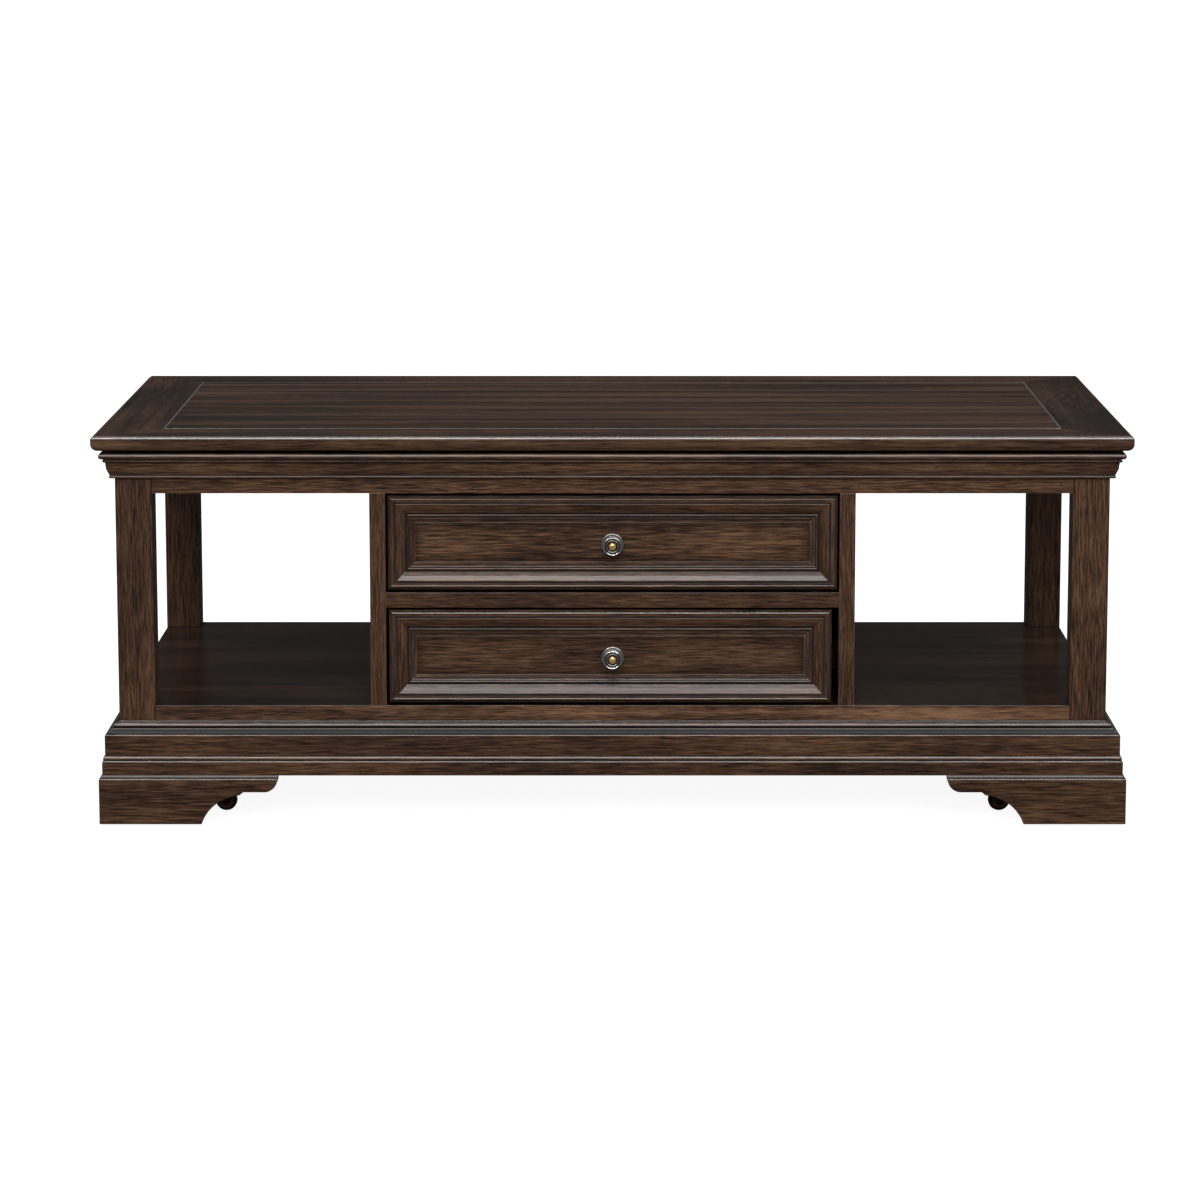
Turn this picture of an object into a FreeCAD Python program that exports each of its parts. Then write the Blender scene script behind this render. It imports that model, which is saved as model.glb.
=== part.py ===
import FreeCAD, Part
import math
import os

from FreeCAD import Placement, Rotation, Vector

# Lift top cocktail table, in millimetres.
# +X runs along the length, the front faces -Y and +Z is up.
# The origin is on the floor, under the middle of the table.

# Overall plan of the top slab.
top_length = 1270.0
top_depth = 660.0

# Heights, stacked from the floor up. The feet, skirt and base make up the plinth,
# and the two drawer openings share what the rest leaves.
table_height = 485.0
plinth_share = 0.2598
foot_part_share = 0.4802
skirt_part_share = 0.1865
foot_clearance = 3.0
shelf_thick = 18.4
rail_height = 18.4
opening_difference = 0.7
apron_show = 19.1
cornice_height = 32.2
shadow_gap = 3.3
slab_thick = 18.5

# Case: how far each face lies inside the edge of the slab, and the board sizes.
leg_inset = 26.0
leg_side = 45.0
leg_ease = 1.0
apron_thick = 20.0
divider_thick = 19.5
drawer_bay = 557.0
rail_depth = 45.0
back_thick = 9.0
back_recess = 3.0
floor_thick = 6.0
floor_lift = 4.0
groove_depth = 6.0

# Mouldings: how far each stands out from the faces of the legs.
cornice_out = 18.0
base_out = 16.6
skirt_out = 20.1
foot_out = 24.2

# Top slab.
border_width = 81.5
seam_groove = 1.2
slab_round = 9.0
slab_edge_width = 3.7
slab_edge_depth = 4.3

# Bracket feet.
foot_thick = 20.0
foot_length = 220.2
block_thick = 18.0
block_length = 172.0
block_width = 120.0

# Drawers.
front_thick = 20.0
front_gap_top = 3.3
front_gap_upper = (2.2, 2.2)
front_gap_lower = (3.4, 8.4)
frame_part_share = 0.2928
frame_relief = 10.0
slide_space = 13.0
box_wall = 12.0
box_lift = 14.0
box_headroom = 20.7
box_length = 550.0
bottom_thick = 5.0
bottom_rise = 8.0
bottom_groove = 5.0
slide_height = 35.0
slide_length = 500.0
slide_setback = 12.0
slide_channel_depth = 10.0
slide_gauge = 1.2
slide_play = 0.8

# Knobs.
knob_radius = 14.0
knob_length = 17.3
knob_drop = 3.5
dome_radius = 4.4
dome_rise = 3.6

# Lift mechanism, closed: both arms lie level and point back.
lift_inset = 81.5
arm_length = 220.0
arm_width = 16.0
arm_thick = 4.0
arm_gap = 0.5
flange_thick = 2.5
rear_pivot_y = -60.0
rear_pivot_rise = 11.5
pivot_step_back = 85.0
pivot_step_up = 21.0
pivot_radius = 3.0
running_clearance = 0.05
pivot_head_radius = 5.5
pivot_head_height = 2.4
head_sides = 6
plate_gauge = 2.0
plate_outboard = 24.0
plate_overhang = 14.0
angle_width = 30.0
angle_lead = 60.0
angle_tail = 18.0
lug_width = 12.0
lug_side = 8.0

# Extension springs, drawn at the stretched length of the closed top.
crank_reach = 18.0
crank_angle = 212.5
crank_lobe = 6.5
spring_pin_radius = 1.6
spring_wire = 1.0
spring_coil_radius = 5.2
spring_half_turns = 9
spring_coil_length = 52.0
spring_length = 120.0
spring_hook_radius = 2.8
spring_lead = 7.0
spring_offset = 3.0
wire_sides = 4
samples_per_arc = 5
nearly_zero = 1e-6

# Rubber bumpers under the slab.
bumper_side = 14.0
bumper_clearance = 0.2

# Casters.
wheel_radius = 13.5
wheel_width = 12.0
caster_inset_x = 150.0
caster_inset_y = 100.0
caster_trail = 12.0
caster_plate_side = 38.0
caster_plate_gauge = 2.0
kingpin_radius = 3.0
kingpin_head_radius = 5.0
kingpin_head_height = 2.0
crown_half = 6.5
crown_gauge = 2.0
crown_gap = 0.6
cheek_gauge = 1.6
cheek_gap = 0.6
cheek_radius = 5.5
axle_radius = 2.0

# One overrun serves all cuts.
overrun = 5.0

# Profile of each moulding as shares: (out share, up share), and a third number,
# where there is one, bends the line to that point by that share of its length.
# Small beads and coves are in narrow flats, each turning by no more than this.
flat_turn = math.radians(45.0)
round_share = (math.sqrt(2.0) - 1.0) / 2.0
cornice_shares = [
    (0.0, 0.0), (0.267, 0.0), (0.311, 0.102, 0.42), (0.322, 0.137), (0.567, 0.602, 0.073),
    (0.578, 0.627), (0.689, 0.637), (0.694, 0.736, 0.3), (0.7, 0.755), (0.811, 0.764),
    (0.817, 1.0, 0.44), (0.0, 1.0)]
base_shares = [
    (0.0, 0.0), (1.0, 0.0), (1.0, 0.607), (0.922, 0.638, 0.2), (0.837, 0.64), (0.825, 0.676),
    (0.53, 0.776, -0.17), (0.512, 0.79), (0.404, 0.793), (0.392, 0.862), (0.211, 0.936, 0.2),
    (0.181, 0.936), (0.169, 0.971), (0.048, 1.0), (0.0, 1.0)]
skirt_shares = [
    (0.0, 0.0), (1.0, 0.0), (1.0, 0.702), (0.93, 0.753, 0.2), (0.915, 0.8), (0.816, 1.0, 0.3),
    (0.0, 1.0)]
foot_shares = [
    (0.0, 0.0), (1.0, 0.0), (1.0, 0.917), (0.938, 0.942, 0.2), (0.897, 0.944), (0.888, 0.969),
    (0.831, 1.0), (0.0, 1.0)]

# Upper edge of the slab: shares of its edge width, out, and of its edge depth, up.
slab_edge_shares = [
    (1.0, 0.0), (0.35, 0.79, 0.2), (0.11, 0.79), (0.11, 0.91), (0.0, 1.0)]

# Bracket cut-out as shares of the foot's length and height.
bracket_shares = [
    (0.572, 0.0), (0.787, 0.60, -0.15), (0.808, 0.664), (0.932, 0.664), (1.0, 0.96, 0.2)]

# Moulded frame of a drawer front: shares of its width, and of its relief below the face.
frame_shares = [
    (0.0, 0.46), (0.106, 0.06), (0.168, 0.08, 0.3), (0.25, 0.08), (0.268, 0.26), (0.303, 0.26),
    (0.309, 0.13), (0.335, 0.13), (0.638, 0.69, 0.07), (0.644, 0.92), (0.703, 0.92),
    (0.706, 0.87), (0.771, 0.87, 0.45), (0.821, 0.87), (0.835, 0.93), (0.9, 0.93),
    (0.915, 1.0), (1.0, 1.0)]

# Knob: shares of its radius and length, from the drawer face out.
knob_shares = [
    (0.0, 0.0), (1.0, 0.0), (1.0, 0.09), (0.42, 0.20), (0.36, 0.50), (0.81, 0.80),
    (0.81, 0.93), (0.735, 1.0), (0.65, 0.96), (0.62, 0.82), (0.0, 0.82)]
dome_shares = [(0.0, 0.0), (1.0, 0.0), (0.75, 0.70), (0.0, 1.0)]
knob_sides = 24

# Worked out from the sizes above.
half_x = top_length / 2.0
half_y = top_depth / 2.0
leg_x = half_x - leg_inset
leg_y = half_y - leg_inset
bay_x = drawer_bay / 2.0
lift_plane = half_x - lift_inset
plinth_height = table_height * plinth_share
foot_height = plinth_height * foot_part_share
skirt_height = plinth_height * skirt_part_share
base_height = plinth_height - foot_height - skirt_height
foot_z = foot_clearance
skirt_z = foot_z + foot_height
base_z = skirt_z + skirt_height
shelf_z = base_z + base_height
lower_z = shelf_z + shelf_thick
top_z = table_height
slab_z = top_z - slab_thick
case_top_z = slab_z - shadow_gap
cornice_z = case_top_z - cornice_height
apron_z = cornice_z - apron_show
openings = apron_z - lower_z - rail_height
lower_opening = (openings - opening_difference) / 2.0
upper_opening = openings - lower_opening
frame_width = (lower_opening - 2.0 * front_gap_top) * frame_part_share
box_height = lower_opening - box_lift - box_headroom
rail_z = lower_z + lower_opening
upper_z = rail_z + rail_height
floor_z = apron_z + floor_lift
inside_z = floor_z + floor_thick
face_y = -leg_y


def block(x0, x1, y0, y1, z0, z1):
    return Part.makeBox(x1 - x0, y1 - y0, z1 - z0, Vector(x0, y0, z0))


def outline(points, place):
    """A closed face through the points. A third number bends the line to that point."""
    edges = []
    count = len(points)
    for index in range(count):
        a = points[index]
        b = points[(index + 1) % count]
        start = place(a[0], a[1])
        end = place(b[0], b[1])
        bend = b[2] if len(b) > 2 else 0.0
        if bend:
            du = b[0] - a[0]
            dv = b[1] - a[1]
            mid = place((a[0] + b[0]) / 2.0 + dv * bend, (a[1] + b[1]) / 2.0 - du * bend)
            edges.append(Part.Arc(start, mid, end).toShape())
        elif start.distanceToPoint(end) > 0.0:
            edges.append(Part.makeLine(start, end))
    return Part.Face(Part.Wire(edges))


def prism_x(points, x0, x1):
    """An outline in (y, z), drawn out along X."""
    return outline(points, lambda y, z: Vector(x0, y, z)).extrude(Vector(x1 - x0, 0, 0))


def prism_y(points, y0, y1):
    """An outline in (x, z), drawn out along Y."""
    return outline(points, lambda x, z: Vector(x, y0, z)).extrude(Vector(0, y1 - y0, 0))


def prism_z(points, z0, z1):
    """An outline in (x, y), drawn out along Z."""
    return outline(points, lambda x, y: Vector(x, y, z0)).extrude(Vector(0, 0, z1 - z0))


def rod(radius, start, along, length):
    return Part.makeCylinder(radius, length, start, along)


def ring_points(radius, height, sides):
    turn = 2.0 * math.pi / sides
    return [Vector(radius * math.cos(turn * side), radius * math.sin(turn * side), height)
            for side in range(sides)]


def hexagon(radius, centre, along, height):
    """A six-sided head, its width across the corners twice the radius."""
    corners = ring_points(radius, 0.0, head_sides)
    head = Part.Face(Part.makePolygon(corners + corners[:1])).extrude(Vector(0, 0, height))
    head.Placement = Placement(centre, Rotation(Vector(0, 0, 1), along))
    return head


def turned(points, sides, centre, along):
    """A turned form in narrow flats: the points are (radius, distance along the axis)."""
    faces = []
    for (r0, h0), (r1, h1) in zip(points, points[1:]):
        low = ring_points(r0, h0, sides)
        high = ring_points(r1, h1, sides)
        if r0 * r1 == 0.0 and h0 == h1:
            rim = low if r0 > 0.0 else high
            faces.append(Part.Face(Part.makePolygon(rim + rim[:1])))
            continue
        for side in range(sides):
            after = (side + 1) % sides
            corners = [low[side], high[side]]
            corners += [high[after]] if r1 > 0.0 else []
            corners += [low[after]] if r0 > 0.0 else []
            faces.append(Part.Face(Part.makePolygon(corners + corners[:1])))
    shell = Part.makeShell(faces)
    shell.sewShape()
    solid = Part.makeSolid(shell)
    if solid.Volume < 0.0:
        solid.reverse()
    solid.Placement = Placement(centre, Rotation(Vector(0, 0, 1), along))
    return solid


def flip_x(shape):
    """The mirror image on the other side of the middle, left for right."""
    return shape.mirror(Vector(0, 0, 0), Vector(1, 0, 0))


def flip_y(shape):
    """The mirror image on the other side of the middle, front for back."""
    return shape.mirror(Vector(0, 0, 0), Vector(0, 1, 0))


def bent(start, end, bend):
    """Points between start and end, on an arc that rises by that share of its chord."""
    du = end[0] - start[0]
    dv = end[1] - start[1]
    turn = 4.0 * math.atan(2.0 * bend)
    flats = max(2, math.ceil(abs(turn) / flat_turn))
    radius = 0.5 / math.sin(turn / 2.0)
    points = []
    for flat in range(1, flats):
        angle = turn * (flat / flats - 0.5)
        along = 0.5 + radius * math.sin(angle)
        rise = radius * (math.cos(angle) - math.cos(turn / 2.0))
        points.append((start[0] + du * along + dv * rise, start[1] + dv * along - du * rise))
    return points


def scaled(shares, out, up):
    """Shares of a profile turned into real sizes, its bent stretches into narrow flats."""
    points = []
    for share in shares:
        end = (share[0] * out, share[1] * up)
        if len(share) > 2:
            points += bent(points[-1], end, share[2])
        points.append(end)
    return points


def mitred_ring(profile, plan_x, plan_y):
    """Four mitred lengths of a moulding. The profile is (out from the plan's edge, z)."""
    low = min(point[1] for point in profile) - overrun
    high = max(point[1] for point in profile) + overrun
    outer = max(point[0] for point in profile) + overrun
    inner = min(point[0] for point in profile) - overrun
    pieces = []
    for turn in range(4):
        along = plan_x if turn % 2 == 0 else plan_y
        across = plan_y if turn % 2 == 0 else plan_x
        reach = along + outer
        bar = outline(profile, lambda o, z: Vector(-reach, -across - o, z)).extrude(
            Vector(2 * reach, 0, 0))
        wedge = prism_z([(-along - outer, -across - outer), (along + outer, -across - outer),
                         (along + inner, -across - inner), (-along - inner, -across - inner)],
                        low, high)
        piece = bar.common(wedge)
        piece.rotate(Vector(0, 0, 0), Vector(0, 0, 1), 90.0 * turn)
        pieces.append(piece)
    return pieces


def eased_post(x0, x1, y0, y1, z0, z1, ease):
    """A square post with its four long edges broken."""
    post = block(x0, x1, y0, y1, z0, z1)
    long_edges = [edge for edge in post.Edges if abs(edge.Length - (z1 - z0)) < ease / 10.0]
    return post.makeChamfer(ease, long_edges)


def pivot_pin(centre, along, grip):
    """A pivot: its six-sided head is behind the centre, its shank passes through the grip."""
    back = Vector(along).multiply(-pivot_head_height)
    head = hexagon(pivot_head_radius, centre.add(back), along, pivot_head_height)
    return head.fuse(rod(pivot_radius, centre, along, grip))


nodes = {}


def keep(name, solids):
    """Hold a node's solids under its name."""
    if not isinstance(solids, list):
        solids = [solids]
    nodes[name] = [solid for shape in solids for solid in shape.Solids]


# Legs and aprons

def build_legs():
    leg = eased_post(-leg_x, -leg_x + leg_side, -leg_y, -leg_y + leg_side, skirt_z, case_top_z,
                     leg_ease)
    keep("leg_front_left", leg)
    keep("leg_front_right", flip_x(leg))
    keep("leg_back_left", flip_y(leg))
    keep("leg_back_right", flip_x(flip_y(leg)))


def floor_board():
    """The compartment floor: its edges stand in the aprons' grooves, its corners clear the legs."""
    reach_x = leg_x - apron_thick + groove_depth
    reach_y = leg_y - apron_thick + groove_depth
    board = block(-reach_x, reach_x, -reach_y, reach_y, floor_z, inside_z)
    for side_x in (-1, 1):
        for side_y in (-1, 1):
            corner_x = side_x * (leg_x - leg_side / 2.0)
            corner_y = side_y * (leg_y - leg_side / 2.0)
            half = leg_side / 2.0
            board = board.cut(block(corner_x - half, corner_x + half, corner_y - half,
                                    corner_y + half, floor_z - overrun, inside_z + overrun))
    return board


def build_aprons():
    floor = floor_board()
    front = block(-leg_x + leg_side, leg_x - leg_side, -leg_y, -leg_y + apron_thick,
                  apron_z, case_top_z).cut(floor)
    side = block(-leg_x, -leg_x + apron_thick, -leg_y + leg_side, leg_y - leg_side,
                 apron_z, case_top_z).cut(floor)
    keep("front_apron", front)
    keep("back_apron", flip_y(front))
    keep("left_apron", side)
    keep("right_apron", flip_x(side))
    keep("compartment_floor", floor)


def build_drawer_case():
    inner_y = leg_y - apron_thick
    side = prism_x([(-leg_y, lower_z), (leg_y, lower_z), (leg_y, apron_z), (inner_y, apron_z),
                    (inner_y, floor_z), (-inner_y, floor_z), (-inner_y, apron_z),
                    (-leg_y, apron_z)], -bay_x - divider_thick, -bay_x)
    keep("left_divider", side)
    keep("right_divider", flip_x(side))
    back_face = leg_y - back_recess
    keep("case_back", block(-bay_x, bay_x, back_face - back_thick, back_face, lower_z, apron_z))
    keep("middle_rail", block(-bay_x, bay_x, face_y, face_y + rail_depth, rail_z, upper_z))


def build_shelf():
    board = block(-leg_x, leg_x, -leg_y, leg_y, shelf_z, lower_z)
    for side_x in (-1, 1):
        for side_y in (-1, 1):
            near_x = side_x * (leg_x - leg_side)
            far_x = side_x * (leg_x + overrun)
            near_y = side_y * (leg_y - leg_side)
            far_y = side_y * (leg_y + overrun)
            board = board.cut(block(min(near_x, far_x), max(near_x, far_x), min(near_y, far_y),
                                    max(near_y, far_y), shelf_z - overrun, lower_z + overrun))
    keep("shelf", board)


# Mouldings and feet

def build_mouldings():
    cornice = [(o, cornice_z + z) for o, z in scaled(cornice_shares, cornice_out, cornice_height)]
    base = [(o, base_z + z) for o, z in scaled(base_shares, base_out, base_height)]
    skirt = [(o, skirt_z + z) for o, z in scaled(skirt_shares, skirt_out, skirt_height)]
    keep("cornice_moulding", mitred_ring(cornice, leg_x, leg_y))
    keep("base_moulding", mitred_ring(base, leg_x, leg_y))
    keep("skirt_moulding", mitred_ring(skirt, leg_x, leg_y))


def bracket_board(along_half, across_half):
    """One board of a bracket foot along X: moulded section, mitred corner, shaped underside."""
    back = foot_out - foot_thick
    section = [(max(o, back), foot_z + z) for o, z in
               scaled(foot_shares, foot_out, foot_height)]
    corner = along_half + foot_out
    face = across_half + foot_out
    board = outline(section, lambda o, z: Vector(-corner, -across_half - o, z)).extrude(
        Vector(foot_length, 0, 0))
    mitre = prism_z([(-corner - overrun, -face - overrun), (-corner + foot_length + overrun,
                     -face - overrun), (-corner + foot_length + overrun,
                     -face + foot_length + overrun)], foot_z - overrun, skirt_z + overrun)
    shape = [(-corner + a * foot_length, foot_z + z * foot_height) + tuple(b)
             for a, z, *b in bracket_shares]
    outside = [(-corner + foot_length, skirt_z), (-corner + foot_length + overrun, skirt_z),
               (-corner + foot_length + overrun, foot_z - overrun),
               (-corner + bracket_shares[0][0] * foot_length, foot_z - overrun)]
    cut_out = prism_y(shape + outside, -face - overrun, -face + foot_thick + overrun)
    return board.common(mitre).cut(cut_out)


def build_feet():
    front = bracket_board(leg_x, leg_y)
    side = bracket_board(leg_y, leg_x)
    side.rotate(Vector(0, 0, 0), Vector(0, 0, 1), -90)
    side = flip_y(side)
    foot = [front, side]
    keep("foot_front_left", foot)
    keep("foot_front_right", [flip_x(board) for board in foot])
    keep("foot_back_left", [flip_y(board) for board in foot])
    keep("foot_back_right", [flip_x(flip_y(board)) for board in foot])
    inner_x = leg_x + foot_out - foot_thick
    inner_y = leg_y + foot_out - foot_thick
    corner = block(-inner_x, -inner_x + block_length, -inner_y, -inner_y + block_width,
                   skirt_z - block_thick, skirt_z)
    keep("foot_blocks", [corner, flip_x(corner), flip_y(corner), flip_x(flip_y(corner))])


# Top slab

def build_top():
    profile = [(-border_width, slab_z), (-slab_round, slab_z),
               (0.0, slab_z + slab_round, round_share)]
    profile += [(o - slab_edge_width, top_z - slab_edge_depth + z) for o, z in
                scaled(slab_edge_shares, slab_edge_width, slab_edge_depth)]
    profile += [(-border_width + seam_groove, top_z), (-border_width, top_z - seam_groove)]
    keep("top_frame", mitred_ring(profile, half_x, half_y))
    inner_x = half_x - border_width
    inner_y = half_y - border_width
    panel = block(-inner_x, inner_x, -inner_y, inner_y, slab_z, top_z)
    rim = [edge for edge in panel.Edges
           if abs(edge.CenterOfMass.z - top_z) < seam_groove / 10.0]
    keep("top_panel", panel.makeChamfer(seam_groove, rim))


# Lift mechanism: drawn on the right side, at plus X, and mirrored to the left.

pivot_a = (rear_pivot_y, inside_z + rear_pivot_rise)
pivot_b = (rear_pivot_y - pivot_step_back, pivot_a[1] + pivot_step_up)
pivot_c = (pivot_a[0] + arm_length, pivot_a[1])
pivot_d = (pivot_b[0] + arm_length, pivot_b[1])
arm_in = lift_plane - arm_thick / 2.0
arm_out = lift_plane + arm_thick / 2.0
base_flange_in = arm_out + arm_gap
base_flange_out = base_flange_in + flange_thick
top_flange_out = arm_in - arm_gap
top_flange_in = top_flange_out - flange_thick
spring_x = arm_in - arm_gap - flange_thick - spring_offset - spring_coil_radius
crank = (pivot_b[0] + crank_reach * math.cos(math.radians(crank_angle)),
         pivot_b[1] + crank_reach * math.sin(math.radians(crank_angle)))
anchor = (crank[0] + spring_length, crank[1])
plate_front = pivot_b[0] - plate_overhang
plate_back = anchor[0] + plate_overhang


def both_sides(shape):
    return [shape, flip_x(shape)]


def hull_plate(circles, x0, x1):
    """A flat link: discs on the given (y, z, radius) points joined by their tangent strips."""
    plate = None
    for y, z, radius in circles:
        disc = rod(radius, Vector(x0, y, z), Vector(1, 0, 0), x1 - x0)
        plate = disc if plate is None else plate.fuse(disc)
    for (y0, z0, r0), (y1, z1, r1) in zip(circles, circles[1:]):
        run = math.hypot(y1 - y0, z1 - z0)
        heading = math.atan2(z1 - z0, y1 - y0)
        lean = math.acos((r0 - r1) / run)
        up = (math.cos(heading + lean), math.sin(heading + lean))
        down = (math.cos(heading - lean), math.sin(heading - lean))
        strip = [(y0 + r0 * up[0], z0 + r0 * up[1]), (y1 + r1 * up[0], z1 + r1 * up[1]),
                 (y1 + r1 * down[0], z1 + r1 * down[1]), (y0 + r0 * down[0], z0 + r0 * down[1])]
        plate = plate.fuse(prism_x(strip, x0, x1))
    return plate.removeSplitter()


def drilled(shape, pivots, radius):
    """Cross holes on the given (y, z) pivots."""
    for y, z in pivots:
        hole = rod(radius, Vector(spring_x, y, z), Vector(1, 0, 0), base_flange_out - spring_x
                   + overrun)
        shape = shape.cut(hole)
    return shape


def base_bracket():
    """Floor plate, upright flange with its two pivots, and the lug with the spring's pin."""
    half = arm_width / 2.0
    lug_x = spring_x - lug_width / 2.0
    plate = block(lug_x, base_flange_out + plate_outboard, plate_front, plate_back, inside_z,
                  inside_z + plate_gauge)
    upright = prism_x([(plate_front, inside_z), (pivot_b[0] - half, pivot_b[1]),
                       (pivot_b[0] - half / 2.0, pivot_b[1] + half),
                       (pivot_b[0] + half / 2.0, pivot_b[1] + half),
                       (pivot_a[0] + half / 2.0, pivot_a[1] + half),
                       (pivot_a[0] + half, pivot_a[1]), (plate_back, inside_z)],
                      base_flange_in, base_flange_out)
    lug = prism_x([(anchor[0] - lug_side, inside_z), (anchor[0] - lug_side / 2.0,
                   anchor[1] + lug_side / 2.0), (anchor[0] + lug_side / 2.0,
                   anchor[1] + lug_side / 2.0), (anchor[0] + lug_side, inside_z)],
                  lug_x, lug_x + plate_gauge)
    pin = rod(spring_pin_radius, Vector(lug_x, anchor[0], anchor[1]), Vector(1, 0, 0), lug_width)
    pivots = [pivot_pin(Vector(arm_in, y, z), Vector(1, 0, 0), base_flange_in - arm_in)
              for y, z in (pivot_a, pivot_b)]
    return plate.fuse([upright, lug, pin] + pivots).removeSplitter()


def top_bracket():
    """Angle under the slab: its flat leg is screwed up, its upright leg drops to both pivots."""
    half = arm_width / 2.0
    y0 = pivot_a[0] - angle_lead
    y1 = pivot_c[0] + angle_tail
    lip_z = slab_z - 2.0 * flange_thick
    flat = block(top_flange_out - angle_width, top_flange_out, y0, y1, slab_z - flange_thick,
                 slab_z)
    tongue = prism_x([(y0, slab_z), (y0, lip_z), (pivot_d[0] - 2.0 * half, lip_z),
                      (pivot_d[0] - half, pivot_d[1]), (pivot_c[0] - half, pivot_c[1] - half / 2.0),
                      (pivot_c[0] - half / 2.0, pivot_c[1] - half),
                      (pivot_c[0] + half / 2.0, pivot_c[1] - half),
                      (pivot_c[0] + half, pivot_c[1] - half / 2.0), (y1, lip_z), (y1, slab_z)],
                     top_flange_in, top_flange_out)
    pivots = [pivot_pin(Vector(arm_out, y, z), Vector(-1, 0, 0), arm_out - top_flange_out)
              for y, z in (pivot_c, pivot_d)]
    return flat.fuse([tongue] + pivots).removeSplitter()


def build_mechanism():
    half = arm_width / 2.0
    hole = pivot_radius + running_clearance
    rear = hull_plate([pivot_a + (half,), pivot_c + (half,)], arm_in, arm_out)
    front = hull_plate([crank + (crank_lobe,), pivot_b + (half,), pivot_d + (half,)],
                       arm_in, arm_out)
    pin_start = spring_x - spring_wire - spring_pin_radius
    pin = rod(spring_pin_radius, Vector(pin_start, crank[0], crank[1]), Vector(1, 0, 0),
              arm_in - pin_start)
    front = drilled(front, [pivot_b, pivot_d], hole).fuse(pin)
    keep("base_brackets", both_sides(base_bracket()))
    keep("top_brackets", both_sides(top_bracket()))
    keep("rear_arms", both_sides(drilled(rear, [pivot_a, pivot_c], hole)))
    keep("front_arms", both_sides(front))


def arc_pair(p0, t0, p1, t1):
    """Two arcs that leave p0 along t0, meet smoothly and reach p1 along t1."""
    gap = p1.sub(p0)
    both = t0.add(t1)
    a = 2.0 * (1.0 - t0.dot(t1))
    b = 2.0 * gap.dot(both)
    c = -gap.dot(gap)
    if abs(a) < nearly_zero:
        reach = -c / b
    else:
        reach = (-b + math.sqrt(b * b - 4.0 * a * c)) / (2.0 * a)
    q0 = p0.add(Vector(t0).multiply(reach))
    q1 = p1.sub(Vector(t1).multiply(reach))
    middle = q0.add(q1).multiply(0.5)
    edges = []
    for start, tangent, end in ((p0, t0, middle), (middle, q1.sub(q0).normalize(), p1)):
        chord = end.sub(start)
        side = tangent.sub(Vector(chord).multiply(tangent.dot(chord) / chord.dot(chord)))
        if side.Length < nearly_zero:
            edges.append(Part.makeLine(start, end))
            continue
        angle = tangent.getAngle(chord)
        sagitta = chord.Length / 2.0 * math.tan(angle / 2.0)
        through = start.add(end).multiply(0.5).add(side.normalize().multiply(sagitta))
        edges.append(Part.Arc(start, through, end).toShape())
    return edges


def spring_route():
    """Points and headings of one spring: hook, lead, coil, lead and hook."""
    x = spring_x
    z = crank[1]
    front = crank[0]
    back = anchor[0]
    hook = spring_hook_radius
    coil_start = (front + back - spring_coil_length) / 2.0
    coil_end = coil_start + spring_coil_length
    step = spring_coil_length / spring_half_turns
    slope = Vector(math.pi * spring_coil_radius, step, 0).normalize()
    route = [(Vector(x, front, z - hook), Vector(0, -1, 0)),
             (Vector(x, front - hook, z), Vector(0, 0, 1)),
             (Vector(x, front, z + hook), Vector(0, 1, 0)),
             (Vector(x, coil_start - spring_lead, z + hook), Vector(0, 1, 0))]
    for half_turn in range(spring_half_turns + 1):
        side = 1.0 if half_turn % 2 == 0 else -1.0
        route.append((Vector(x + side * spring_coil_radius, coil_start + half_turn * step, z),
                      Vector(0, slope.y, -side * slope.x)))
    route += [(Vector(x, coil_end + spring_lead, z + hook), Vector(0, 1, 0)),
              (Vector(x, back, z + hook), Vector(0, 1, 0)),
              (Vector(x, back + hook, z), Vector(0, 0, -1)),
              (Vector(x, back, z - hook), Vector(0, -1, 0))]
    return route


def least_gap(edges):
    """The least distance of the wire to itself, past the stretch that is its own bend."""
    points = []
    reached = 0.0
    for edge in edges:
        for share, point in enumerate(edge.discretize(samples_per_arc)[:-1]):
            points.append((reached + edge.Length * share / (samples_per_arc - 1.0), point))
        reached += edge.Length
    past = 3.0 * spring_hook_radius
    return min(a.distanceToPoint(b) for i, (way, a) in enumerate(points)
               for far, b in points[i:] if far - way > past) - 2.0 * spring_wire


def build_springs():
    route = spring_route()
    edges = []
    for (p0, t0), (p1, t1) in zip(route, route[1:]):
        edges += arc_pair(p0, t0, p1, t1)
    path = Part.Wire(edges)
    start, heading = route[0]
    ring = []
    for side in range(wire_sides):
        angle = 2.0 * math.pi * side / wire_sides
        ring.append(start.add(Vector(spring_wire * math.cos(angle), 0,
                                     spring_wire * math.sin(angle))))
    section = Part.makePolygon(ring + [ring[0]])
    coil = path.makePipeShell([section], True, False)
    print("spring: wire", round(path.Length, 1), "least gap", round(least_gap(edges), 2))
    keep("lift_springs", both_sides(coil))


def build_bumpers():
    height = shadow_gap - bumper_clearance
    spots = [(leg_x - leg_side / 2.0, leg_y - leg_side / 2.0), (0.0, leg_y - apron_thick / 2.0)]
    pads = []
    half = bumper_side / 2.0
    for x, y in spots:
        pad = block(x - half, x + half, -y - half, -y + half, case_top_z, case_top_z + height)
        pads += [pad, flip_y(pad)]
        if x > 0.0:
            pads += [flip_x(pad), flip_x(flip_y(pad))]
    keep("top_bumpers", pads)


# Drawers

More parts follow.
